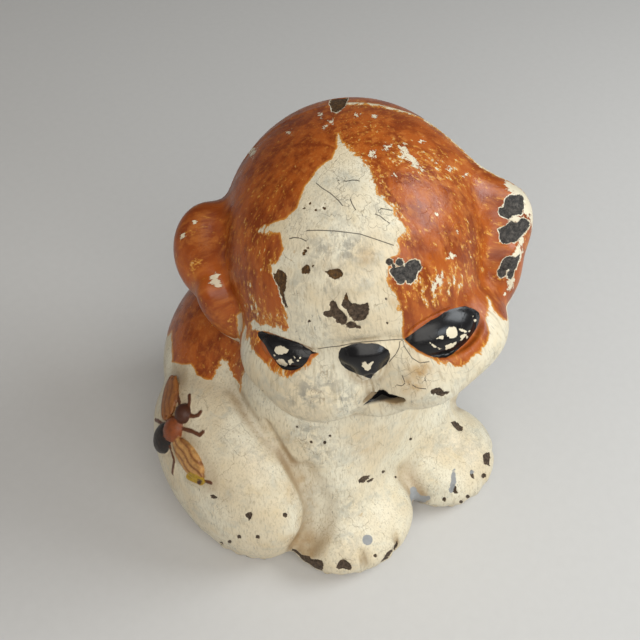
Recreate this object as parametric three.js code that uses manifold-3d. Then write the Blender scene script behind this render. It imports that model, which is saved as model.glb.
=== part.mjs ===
// A puppy sitting up with its head turned and tipped, cast in iron in one piece.
// Millimetres, +Z up. The body faces -Y, +X is the puppy's left side, and the origin is on the flat
// underside. The head has its own frame: -Y is the way that the face looks.
import * as THREE from "three";
import { mergeVertices } from "three/addons/utils/BufferGeometryUtils.js";
import Module from "manifold-3d";

// Head pose: where its centre is, and its nod, tip and turn in degrees
const HEAD_AT = [7, -10, 88.5];
const HEAD_TURN = [-12, -11, -46];

// A mass is an egg (centre at, radii, turn in degrees) or a limb (a ball at each end).
// blend is the width of the fillet to the masses before it, and a paired mass is on both sides.
const HEAD_MASSES = {
  skull: { at: [0.2, 3, 2], radii: [34.2, 39, 35.5] },
  cheek: { at: [15, -15.5, -17], radii: [18, 17, 13], blend: 8, paired: true },
  flew: { at: [11, -23.5, -21.5], radii: [14.5, 12.5, 11], turn: [0, 0, -20], blend: 5, paired: true },
  leftCheek: { at: [20.5, -14.5, -18], radii: [15.8, 17, 11.5], blend: 4 },
  chin: { at: [2, -22, -28.5], radii: [11, 9, 7], blend: 2 },
  rightEarFlap: { at: [-36.5, 0, 5.5], radii: [10.5, 8, 14.5], turn: [0, 8, 0], blend: 5 },
  rightEarTip: { at: [-35, -6, -9], radii: [6, 6, 14], turn: [24, -14, 0], blend: 5 },
  leftEarFlap: { at: [34, 0, 0], radii: [11.5, 8, 12], turn: [0, -18, 0], blend: 5 },
  leftEarTip: { at: [35, -5, -11.5], radii: [6, 6, 13], turn: [20, 14, 0], blend: 5 },
  leftEarRoot: { from: [17, 3, 22], fromRadius: 7, to: [39.5, 1, 4.5], toRadius: 5, blend: 6 },
};
const BODY_MASSES = {
  trunk: { from: [0, 12.5, 32], fromRadius: 36.5, to: [5, -9, 62], toRadius: 22 },
  chest: { at: [0, -15, 48], radii: [26, 20, 27], blend: 10 },
  brisket: { at: [2, -20, 24], radii: [18, 14, 28], blend: 8 },
  rightLeg: { from: [-16, -12, 58], fromRadius: 14, to: [-16, -24, 14], toRadius: 14.5, blend: 7 },
  leftLeg: { from: [18, -12, 58], fromRadius: 14, to: [20, -25, 14], toRadius: 13.5, blend: 7 },
  rightPaw: { at: [-14, -30.5, 8], radii: [20, 17.5, 12], turn: [0, 0, -12], blend: 5 },
  leftPaw: { at: [23, -35, 7.5], radii: [18, 17, 12], turn: [0, 0, 25], blend: 5 },
  haunch: { at: [32, 1.2, 22], radii: [18, 31, 31], turn: [0, 0, 6], blend: 2.5, paired: true },
  tail: { at: [6, 42.5, 8.5], radii: [13, 7.5, 9], turn: [0, 0, -12], blend: 5 },
  seat: { at: [0, -2, 4], radii: [30, 34, 9], blend: 4 },
};

// Each eye in the head's frame: its two corners, its lowest point, the way that it looks,
// and how far its upper lid arches above the line between the corners
const EYES = [
  {
    inner: [-11.2, -32.9, -7.3],
    outer: [-25.4, -24.1, -5.3],
    low: [-18.3, -32.2, -12],
    looks: [-0.5, -0.82, 0.24],
    arch: 1.4,
  },
  {
    inner: [10.3, -33.3, -7.2],
    outer: [28.8, -24.1, -9.2],
    low: [18.5, -33.3, -13.9],
    looks: [0.5, -0.82, 0.24],
    arch: 4,
  },
];
const SOCKET_LIFT = 1.6;
const SOCKET_DEPTH = 3.6;
const SOCKET_MARGIN = 0.2;
const EYEBALL_SINK = 2.4;
const EYEBALL_SHARE = [0.98, 1.25];
const EYEBALL_DEPTH = 5;

// Nose and mouth, in the head's frame
const NOSE = [
  { at: [0.4, -32.3, -9.2], radii: [6.6, 4, 4.2], turn: [0, 3, 0] },
  { at: [0.5, -32.4, -13.2], radii: [3.4, 3.4, 4.6] },
];
const MOUTH = [
  { at: [2.7, -34, -24.2], radii: [5.5, 6, 1.9], turn: [0, -8, 0] },
  { at: [2.2, -34.2, -22.4], radii: [1.5, 2.2, 2] },
];

// The bee in low relief on the right haunch: a place near it and the way that its head points
const BEE_AT = [-45.4, 9.9, 40.4];
const BEE_HEADING = [0.28, -0.41, 0.87];
// The head, thorax, abdomen and two spread wings: along and across the bee from its middle,
// lift off the skin, half sizes, and splay
const BEE_PARTS = [
  { along: 8.4, across: 1.8, lift: 0.4, half: [2.7, 2.7, 2], splay: 0 },
  { along: 2.4, across: -0.2, lift: 0.4, half: [4.2, 3.4, 2.4], splay: 0 },
  { along: -5.6, across: 1, lift: 0.2, half: [6.2, 3.8, 2.4], splay: 0 },
  { along: 3.2, across: -10, lift: 0.4, half: [7.4, 4.2, 0.9], splay: 80 },
  { along: 3.2, across: 10, lift: 0.4, half: [7.4, 4.2, 0.9], splay: -80 },
];

// Fineness of the facets
const HEAD_DETAIL = 12;
const BODY_DETAIL = 15;
const FEATURE_SIDES = 18;
const BEE_SIDES = 12;

// The point inside the body that its skin is reached from, and how the reaching goes
const BODY_HEART = [0, -6, 27];
const REACH = 90;
const SKIN_TOLERANCE = 1e-4;
const MARCH_STEPS = 120;
const MARCH_CARE = 0.8;
const SLOPE_STEP = 0.05;

const wasm = await Module();
wasm.setup();

const vector = (xyz) => new THREE.Vector3(...xyz);

function turnOf([x, y, z] = [0, 0, 0]) {
  const { degToRad } = THREE.MathUtils;
  return new THREE.Quaternion().setFromEuler(new THREE.Euler(degToRad(x), degToRad(y), degToRad(z), "ZXY"));
}

const headToBody = new THREE.Matrix4().compose(vector(HEAD_AT), turnOf(HEAD_TURN), vector([1, 1, 1]));

// Distance to an egg's skin, below zero inside
function eggField({ at, radii, turn }) {
  const centre = vector(at);
  const unturn = turnOf(turn).invert();
  const size = vector(radii);
  return (point) => {
    const scaled = point.clone().sub(centre).applyQuaternion(unturn).divide(size);
    const level = scaled.length();
    const slope = scaled.divide(size).length();
    return (level * (level - 1)) / Math.max(slope, 1e-9);
  };
}

// Distance to the skin of a cone with a ball at each end
function limbField({ from, fromRadius, to, toRadius }) {
  const start = vector(from);
  const axis = vector(to).sub(start);
  const length = axis.length();
  axis.normalize();
  const sine = (fromRadius - toRadius) / length;
  const slope = sine / Math.sqrt(1 - sine * sine);
  return (point) => {
    const offset = point.clone().sub(start);
    const along = offset.dot(axis);
    const across = Math.sqrt(Math.max(offset.lengthSq() - along * along, 0));
    const share = THREE.MathUtils.clamp((along - across * slope) / length, 0, 1);
    const radius = THREE.MathUtils.lerp(fromRadius, toRadius, share);
    return Math.hypot(across, along - share * length) - radius;
  };
}

function massField(mass) {
  const field = mass.radii ? eggField(mass) : limbField(mass);
  if (!mass.paired) return field;
  return (point) => field(vector([Math.abs(point.x), point.y, point.z]));
}

// The nearer of two skins, with a fillet where they meet
function blended(a, b, width) {
  const near = Math.max(width - Math.abs(a - b), 0) / width;
  return Math.min(a, b) - (near * near * width) / 4;
}

// One field for a list of masses, each blended onto the ones before it
function joinedField(masses) {
  const steps = Object.values(masses).map((mass) => ({ field: massField(mass), blend: mass.blend }));
  return (point) =>
    steps.reduce((skin, { field, blend }) => (blend ? blended(skin, field(point), blend) : field(point)), 0);
}

// A closed geometry as a solid
function solidOf(geometry) {
  geometry.deleteAttribute("normal");
  geometry.deleteAttribute("uv");
  const merged = mergeVertices(geometry, 1e-5);
  return new wasm.Manifold(
    new wasm.Mesh({
      numProp: 3,
      vertProperties: merged.attributes.position.array,
      triVerts: new Uint32Array(merged.index.array),
    }),
  );
}

// A ball whose every point is drawn in along its ray until it lies on the field's skin
function skinned(field, heart, detail) {
  const ball = new THREE.IcosahedronGeometry(1, detail).deleteAttribute("normal").deleteAttribute("uv");
  const geometry = mergeVertices(ball);
  const corners = geometry.attributes.position;
  for (let i = 0; i < corners.count; i += 1) {
    const ray = new THREE.Vector3().fromBufferAttribute(corners, i).normalize();
    let reach = REACH;
    for (let step = 0; step < MARCH_STEPS; step += 1) {
      const gap = field(heart.clone().addScaledVector(ray, reach));
      reach -= gap * MARCH_CARE;
      if (Math.abs(gap) < SKIN_TOLERANCE) break;
    }
    const onSkin = heart.clone().addScaledVector(ray, reach);
    corners.setXYZ(i, onSkin.x, onSkin.y, onSkin.z);
  }
  return geometry;
}

// A ball stretched to an egg, in a frame given by its matrix
function egg({ at, radii, turn }, sides, frame) {
  const place = new THREE.Matrix4().compose(vector(at), turnOf(turn), vector(radii));
  return solidOf(new THREE.SphereGeometry(1, sides, sides / 2).applyMatrix4(place).applyMatrix4(frame));
}

// The frame of an eye: along its lid line, down across it and out of the face
function eyeFrame({ inner, outer, low, looks, arch }) {
  const middle = vector(inner).add(vector(outer)).divideScalar(2);
  const along = vector(outer).sub(vector(inner));
  const halfWidth = along.length() / 2;
  along.normalize();
  const out = vector(looks).addScaledVector(along, -vector(looks).dot(along)).normalize();
  const down = vector(low).sub(middle);
  const across = out.clone().cross(along);
  const side = Math.sign(across.dot(down));
  const drop = Math.abs(across.dot(down));
  const frame = new THREE.Matrix4().makeBasis(along.multiplyScalar(side), across.multiplyScalar(side), out);
  return { frame: frame.setPosition(middle).premultiply(headToBody), halfWidth, drop, arch };
}

// The hollow under the brow: the lower half of an egg, and a flatter egg under the arched lid
function socket({ frame, halfWidth, drop, arch }) {
  const hollow = (height) => {
    const radii = [halfWidth + SOCKET_MARGIN, height + SOCKET_MARGIN, SOCKET_DEPTH];
    return egg({ at: [0, 0, SOCKET_LIFT], radii }, FEATURE_SIDES, frame);
  };
  const above = new THREE.BoxGeometry(4 * halfWidth, 2 * drop, 6 * SOCKET_DEPTH);
  above.translate(0, -drop, 0);
  return hollow(drop).subtract(solidOf(above.applyMatrix4(frame))).add(hollow(arch));
}

function eyeball({ frame, halfWidth, drop, arch }) {
  const halfHeight = (drop + arch) / 2;
  const radii = [halfWidth * EYEBALL_SHARE[0], halfHeight * EYEBALL_SHARE[1], EYEBALL_DEPTH];
  return egg({ at: [0, (drop - arch) / 2, -EYEBALL_SINK], radii }, FEATURE_SIDES, frame);
}

function outward(field, point) {
  const slope = [0, 1, 2].map((axis) => {
    const step = new THREE.Vector3().setComponent(axis, SLOPE_STEP);
    return field(point.clone().add(step)) - field(point.clone().sub(step));
  });
  return vector(slope).normalize();
}

// The nearest point of the skin
function ontoSkin(field, start) {
  const point = start.clone();
  for (let round = 0; round < 12; round += 1) {
    point.addScaledVector(outward(field, point), -field(point));
  }
  return point;
}

// The parts of the bee, each lying on the skin where it is
function beeSolids(field) {
  const middle = ontoSkin(field, vector(BEE_AT));
  const heading = vector(BEE_HEADING).projectOnPlane(outward(field, middle)).normalize();
  const aside = outward(field, middle).cross(heading);
  return BEE_PARTS.map(({ along, across, lift, half, splay }) => {
    const place = middle.clone().addScaledVector(heading, along).addScaledVector(aside, across);
    const spot = ontoSkin(field, place);
    const out = outward(field, spot);
    const ahead = heading.clone().projectOnPlane(out).normalize();
    ahead.applyAxisAngle(out, THREE.MathUtils.degToRad(-splay));
    const frame = new THREE.Matrix4().makeBasis(ahead, out.clone().cross(ahead), out);
    frame.setPosition(spot.addScaledVector(out, lift));
    return egg({ at: [0, 0, 0], radii: half }, BEE_SIDES, frame);
  });
}

// Everything below the surface that it stands on
function ground() {
  return solidOf(new THREE.BoxGeometry(4 * REACH, 4 * REACH, 2 * REACH).translate(0, 0, -REACH));
}

function casting() {
  const headField = joinedField(HEAD_MASSES);
  const bodyField = joinedField(BODY_MASSES);
  const head = skinned(headField, vector([0, 0, 0]), HEAD_DETAIL).applyMatrix4(headToBody);
  const body = skinned(bodyField, vector(BODY_HEART), BODY_DETAIL);
  const eyes = EYES.map(eyeFrame);
  const added = [...eyes.map(eyeball), ...NOSE.map((mass) => egg(mass, FEATURE_SIDES, headToBody))];
  const taken = [...eyes.map(socket), ...MOUTH.map((mass) => egg(mass, FEATURE_SIDES, headToBody))];
  let solid = solidOf(head);
  for (const hollow of taken) solid = solid.subtract(hollow);
  for (const bump of added) solid = solid.add(bump);
  solid = solid.add(solidOf(body));
  for (const part of beeSolids(bodyField)) solid = solid.add(part);
  return solid.subtract(ground());
}

function geometryOf(solid) {
  const { vertProperties, triVerts } = solid.getMesh();
  const geometry = new THREE.BufferGeometry();
  geometry.setAttribute("position", new THREE.BufferAttribute(vertProperties, 3));
  geometry.setIndex(new THREE.BufferAttribute(triVerts, 1));
  geometry.computeVertexNormals();
  return geometry;
}

const paintedIron = new THREE.MeshStandardMaterial({ color: 0xd9cdb4, roughness: 0.45, metalness: 0 });
const puppy = new THREE.Mesh(geometryOf(casting()), paintedIron);
puppy.name = "puppy_casting";

const statue = new THREE.Group();
statue.add(puppy);

export default statue;
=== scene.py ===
"""A seated puppy in old painted cast iron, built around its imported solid."""
import math
import bmesh
import bpy
import numpy as np
from mathutils import Matrix, Vector
from mathutils.bvhtree import BVHTree


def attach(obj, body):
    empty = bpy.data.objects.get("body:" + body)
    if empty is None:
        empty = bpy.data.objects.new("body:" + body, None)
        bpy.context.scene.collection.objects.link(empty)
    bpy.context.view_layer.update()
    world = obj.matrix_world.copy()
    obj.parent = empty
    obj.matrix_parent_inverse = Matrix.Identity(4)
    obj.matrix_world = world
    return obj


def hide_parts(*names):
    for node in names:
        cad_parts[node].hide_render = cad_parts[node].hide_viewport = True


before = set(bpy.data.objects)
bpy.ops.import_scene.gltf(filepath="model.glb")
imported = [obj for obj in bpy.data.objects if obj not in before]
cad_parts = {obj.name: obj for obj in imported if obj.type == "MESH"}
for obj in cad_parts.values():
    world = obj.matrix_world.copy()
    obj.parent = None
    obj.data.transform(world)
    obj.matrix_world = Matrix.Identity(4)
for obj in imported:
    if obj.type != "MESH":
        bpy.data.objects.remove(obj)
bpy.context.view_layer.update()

# Lengths are in millimetres until the mesh is finished, except those of the stage. Angles are in degrees
MM = 0.001
TINY = 1e-9

# The photograph's view: a square of this many pixels
PHOTO_SIZE = 640
VIEW_AZIMUTH = -45.0
VIEW_ELEVATION = 46.0
VIEW_DISTANCE = 270.0
VIEW_FOCUS_PX = 950.0
VIEW_TARGET = np.array([2.1, -2.1, 60.0])
SENSOR_WIDTH = 36.0
CLIP_START = 0.01

# Head pose: where its centre is, and its nod, tip and turn
HEAD_AT = np.array([7.0, -10.0, 88.5])
HEAD_TURN = (-12, -11, -46)

# A mass is an egg (centre at, radii, turn) or a limb (a ball at each end), as in the solid.
# blend is the width of the fillet to the masses before it, and a paired mass is on both sides.
HEAD_MASSES = {
    "skull": {"at": (0.2, 3, 2), "radii": (34.2, 39, 35.5)},
    "cheek": {"at": (15, -15.5, -17), "radii": (18, 17, 13), "blend": 8, "paired": True},
    "flew": {
        "at": (11, -23.5, -21.5), "radii": (14.5, 12.5, 11), "turn": (0, 0, -20),
        "blend": 5, "paired": True,
    },
    "left_cheek": {"at": (20.5, -14.5, -18), "radii": (15.8, 17, 11.5), "blend": 4},
    "chin": {"at": (2, -22, -28.5), "radii": (11, 9, 7), "blend": 2},
    "right_ear_flap": {"at": (-36.5, 0, 5.5), "radii": (10.5, 8, 14.5), "turn": (0, 8, 0), "blend": 5},
    "right_ear_tip": {"at": (-35, -6, -9), "radii": (6, 6, 14), "turn": (24, -14, 0), "blend": 5},
    "left_ear_flap": {"at": (34, 0, 0), "radii": (11.5, 8, 12), "turn": (0, -18, 0), "blend": 5},
    "left_ear_tip": {"at": (35, -5, -11.5), "radii": (6, 6, 13), "turn": (20, 14, 0), "blend": 5},
    "left_ear_root": {
        "start": (17, 3, 22), "start_radius": 7, "end": (39.5, 1, 4.5), "end_radius": 5, "blend": 6,
    },
}
BODY_MASSES = {
    "trunk": {"start": (0, 12.5, 32), "start_radius": 36.5, "end": (5, -9, 62), "end_radius": 22},
    "chest": {"at": (0, -15, 48), "radii": (26, 20, 27), "blend": 10},
    "brisket": {"at": (2, -20, 24), "radii": (18, 14, 28), "blend": 8},
    "right_leg": {
        "start": (-16, -12, 58), "start_radius": 14, "end": (-16, -24, 14), "end_radius": 14.5, "blend": 7,
    },
    "left_leg": {
        "start": (18, -12, 58), "start_radius": 14, "end": (20, -25, 14), "end_radius": 13.5, "blend": 7,
    },
    "right_paw": {"at": (-14, -30.5, 8), "radii": (20, 17.5, 12), "turn": (0, 0, -12), "blend": 5},
    "left_paw": {"at": (23, -35, 7.5), "radii": (18, 17, 12), "turn": (0, 0, 25), "blend": 5},
    "haunch": {"at": (32, 1.2, 22), "radii": (18, 31, 31), "turn": (0, 0, 6), "blend": 2.5, "paired": True},
    "tail": {"at": (6, 42.5, 8.5), "radii": (13, 7.5, 9), "turn": (0, 0, -12), "blend": 5},
    "seat": {"at": (0, -2, 4), "radii": (30, 34, 9), "blend": 4},
}
NECK_BLEND = 1.5

# Each eye in the head's frame: its two corners, its lowest point, the way that it looks,
# and how far its upper lid arches above the line between the corners
EYES = [
    {"inner": (-11.2, -32.9, -7.3), "outer": (-25.4, -24.1, -5.3), "low": (-18.3, -32.2, -12),
     "looks": (-0.5, -0.82, 0.24), "arch": 1.4},
    {"inner": (10.3, -33.3, -7.2), "outer": (28.8, -24.1, -9.2), "low": (18.5, -33.3, -13.9),
     "looks": (0.5, -0.82, 0.24), "arch": 4.0},
]
SOCKET_LIFT = 1.6
SOCKET_DEPTH = 3.6
SOCKET_MARGIN = 0.2
SOCKET_BLEND = 1.0
EYEBALL_SINK = 2.4
EYEBALL_SHARE = (0.98, 1.25)
EYEBALL_DEPTH = 5.0
EYEBALL_BLEND = 0.6

# Nose, mouth and the creases of the face, in the head's frame
NOSE = [
    {"at": (0.4, -32.3, -9.2), "radii": (6.6, 4, 4.2), "turn": (0, 3, 0)},
    {"at": (0.5, -32.4, -13.2), "radii": (3.4, 3.4, 4.6), "blend": 2},
]
NOSE_BLEND = 0.8
MOUTH = [
    {"at": (2.7, -34, -24.2), "radii": (5.5, 6, 1.9), "turn": (0, -8, 0)},
    {"at": (2.2, -34.2, -22.4), "radii": (1.5, 2.2, 2.0), "blend": 1},
]
MOUTH_BLEND = 0.5
BROW_CREASE = [(-10.8, -33.6, -7.6), (-5.0, -35.6, -4.6), (6.6, -35.2, -5.4), (10.4, -33.8, -7.4)]
BROW_CREASE_RADIUS = 0.8
LIP_CREASE = [(0.6, -34.6, -15.5), (1.8, -34.6, -22.0)]
LIP_CREASE_RADIUS = 0.9
CREASE_BLEND = 2.0

# Soft wrinkles across the forehead, and the casting's parting line over the head and ears
WRINKLE_HEIGHT = 0.28
WRINKLE_SPACING = 6.0
WRINKLE_CREST = 16.4
WRINKLE_REACH = (13.0, 10.5)
WRINKLE_MIDDLE = 14.5
WRINKLE_FADE = 10.0
PARTING_AT = 7.0
PARTING_EAR_AT = 3.0
PARTING_EAR_FROM = (24.0, 34.0)
PARTING_HEIGHT = 0.22
PARTING_WIDTH = 0.8

# Faint grooves between the toes: the paw's centre and turn, and a groove's offset to each side
PAWS = [((-14, -30.5), -12), ((23, -35), 25)]
TOE_OFFSET = 5.8
TOE_START = (-18.2, 1.0)
TOE_END = (-14.6, 13.0)
TOE_RADII = (0.8, 0.3)
TOE_BLEND = 2.5

# The crease where the right haunch overlaps the body, from its top to the floor
HAUNCH_CREASE = [
    (-30.4, -14.5, 53.5), (-30.4, -17.5, 50.4), (-30.1, -20.2, 45.6), (-29.6, -23.9, 39.7),
    (-28.8, -27.0, 32.7), (-28.4, -28.8, 27.2), (-29.4, -29.4, 21.7), (-31.6, -29.5, 17.5),
    (-34.4, -28.6, 12.5),
]
HAUNCH_CREASE_RADIUS = 0.5
HAUNCH_CREASE_BLEND = 2.0
# The gutter beside that crease, on the body's side of it: a radius for each of its lower points
HAUNCH_GUTTER_SHIFT = np.array([2.0, -2.4, 0.4])
HAUNCH_GUTTER_RADII = (0.1, 0.8, 1.5, 1.8, 1.8, 1.6)
HAUNCH_GUTTER_BLEND = 7.0

# The casting is rough where it meets the ground: how rough, how high up, and its waves
FOOT_ROUGHNESS = 0.9
FOOT_ROUGH_TOP = 4.5
FOOT_WAVES = np.array([[1.1, 0.6, 0.5], [-0.5, 1.3, 0.9], [0.8, -0.9, 1.2], [-1.5, -0.4, 0.7]])

# The bee in low relief on the right haunch: a place near it and the way that its head points
BEE_AT = np.array([-45.4, 9.9, 40.4])
BEE_HEADING = np.array([0.28, -0.41, 0.87])
# Each part: along and across the bee from its middle, lift off the skin, half sizes and splay
BEE_PARTS = {
    "head": (8.4, 1.8, 0.4, (2.7, 2.7, 2.0), 0),
    "thorax": (2.4, -0.2, 0.4, (4.2, 3.4, 2.4), 0),
    "abdomen": (-5.6, 1.0, 0.2, (6.2, 3.8, 2.4), 0),
    "near_wing": (3.2, -10.0, 0.4, (7.4, 4.2, 0.9), 80),
    "far_wing": (3.2, 10.0, 0.4, (7.4, 4.2, 0.9), -80),
}
# Each feeler or leg: the points that it passes, along and across the bee
BEE_LEGS = [
    [(9.6, 2.6), (11.0, 2.8), (12.0, 4.4), (12.4, 6.8)],
    [(9.8, 0.4), (12.4, -1.0), (14.0, -1.3), (15.3, -0.6)],
    [(6.0, -1.8), (9.6, -4.6), (11.6, -6.8), (13.4, -6.6)],
    [(6.6, 3.6), (7.6, 6.1), (6.6, 13.0)],
    [(-3.0, -2.2), (-4.6, -6.8), (-10.8, -8.6)],
    [(-3.0, 4.2), (-6.5, 7.0), (-10.5, 9.6)],
    [(2.0, -15.5), (2.6, -17.0), (5.5, -20.2)],
]
BEE_LEG_RADIUS = 0.4
BEE_BLEND = 0.6
BEE_REACH = 32.0

# The paint, from the photograph: outlines and marks in its pixels, drawn onto what its view sees.
# The cream blaze and muzzle, clockwise from the top of the blaze
CREAM_FACE = [
    (338, 134), (345, 146), (359, 158), (370, 168), (372, 180), (379, 196), (393, 207), (397, 222),
    (408, 231), (397, 240), (398, 254), (388, 258), (387, 277), (392, 290), (399, 304), (402, 322),
    (402, 336), (405, 341.5), (412, 348), (420, 353.5), (428, 357.5), (436, 360), (444, 363),
    (452, 366), (460, 367.5), (466, 365.5), (471, 360), (475, 356), (480, 352), (484, 347),
    (489, 341), (490, 333), (487, 322), (488.5, 311), (489, 303), (487, 297), (490.5, 301),
    (494, 311), (499, 316), (504, 320), (507, 321), (514, 324), (530, 345), (500, 400), (460, 420),
    (330, 430), (235, 420), (241, 395), (243, 372), (241, 350), (238, 330), (237, 316), (241, 312),
    (244, 325), (248, 340), (254, 352), (262, 360), (270, 370), (280, 375), (288, 376.5),
    (303, 370), (311, 361), (319, 353.5), (309, 349.5), (297, 343), (285, 338.5), (272, 334.5),
    (262, 331.5), (253, 328), (250, 323), (254, 321), (264, 324), (276, 327), (286, 330),
    (290, 328), (285, 309), (282.5, 288), (272, 273), (271, 267), (280, 260), (284, 248),
    (280, 233), (266, 232), (259, 231), (272, 224), (287, 218), (297, 208), (302, 195), (305, 187),
    (312, 178), (319, 168), (332, 159), (337, 148),
]
# The orange saddle, as far as the view sees it
SADDLE = [
    (171, 327), (172, 362), (182, 365), (191, 364), (197, 375), (204, 379), (212, 380), (219, 367),
    (222, 358), (227, 362), (234, 377), (239, 385), (240, 395), (242, 382), (245, 367), (249, 357),
    (250, 330), (250, 285), (160, 285), (160, 327),
]
# Where the view doesn't see: the lowest orange on the head, and the saddle's edge and its slope
HEAD_ORANGE_FROM = -13.0
SADDLE_FROM = 55.0
SADDLE_SLOPE = 0.3
SADDLE_REACH = 60.0
SADDLE_FRONT = -3.0

# The black of the eyes, nose and mouth, and the painted shade inside the mouth's recess
BLACKS = {
    "left_eye": [
        (404.5, 339), (413, 333), (421, 327), (430, 320.5), (436, 318), (443, 313), (450, 309.5),
        (457, 307.5), (465, 306), (470, 307.5), (475, 309.5), (479.3, 312.5), (479.8, 317),
        (478.5, 323), (476, 329), (472, 335), (467, 341.5), (460, 348), (452, 354.5), (446, 357.5),
        (440, 358), (433, 357), (426, 354), (419, 350.5), (412, 345.5), (407, 341.5),
    ],
    "right_eye": [
        (258, 332), (262, 331), (268, 333.5), (275, 335), (282, 337.5), (290, 340), (297, 342),
        (303, 345), (309, 349), (313, 351.5), (318, 353), (311, 354), (309, 358), (306, 363),
        (302, 367), (297, 369.5), (291, 370.5), (286, 370), (281, 368), (277, 363.5), (272, 357),
        (268, 351), (265, 345), (261, 340), (258, 336),
    ],
    "nose": [
        (339, 352), (341, 348), (346, 346.5), (352, 344), (360, 343), (366, 343.5), (372, 342.8),
        (378, 344), (384, 347), (388.5, 350), (390, 354), (389.5, 359), (387, 364), (382, 368),
        (378, 371), (374, 374), (371, 379), (368, 378), (362, 375.5), (356, 373.5), (350, 371),
        (345, 368), (341, 364), (338.5, 358),
    ],
    "mouth": [
        (366, 402.5), (372, 397.5), (376, 393.5), (379, 390), (384, 389.8), (387, 391.5),
        (389, 394), (392, 394), (396, 396), (398, 397), (394, 398), (390, 397.5), (386, 396),
        (382, 394.5), (379, 396), (374, 399.5), (370, 402), (363, 405.5),
    ],
}
# Where painted shade darkens the inside of the mouth
MOUTH_INSIDE = [
    (362, 405.5), (370, 398.5), (376, 393), (379.5, 389.5), (384, 389.5), (388, 391.5), (390, 394),
    (396, 396), (405, 398), (396, 399.5), (385, 401.5), (374, 404), (366, 405.5),
]

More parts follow.
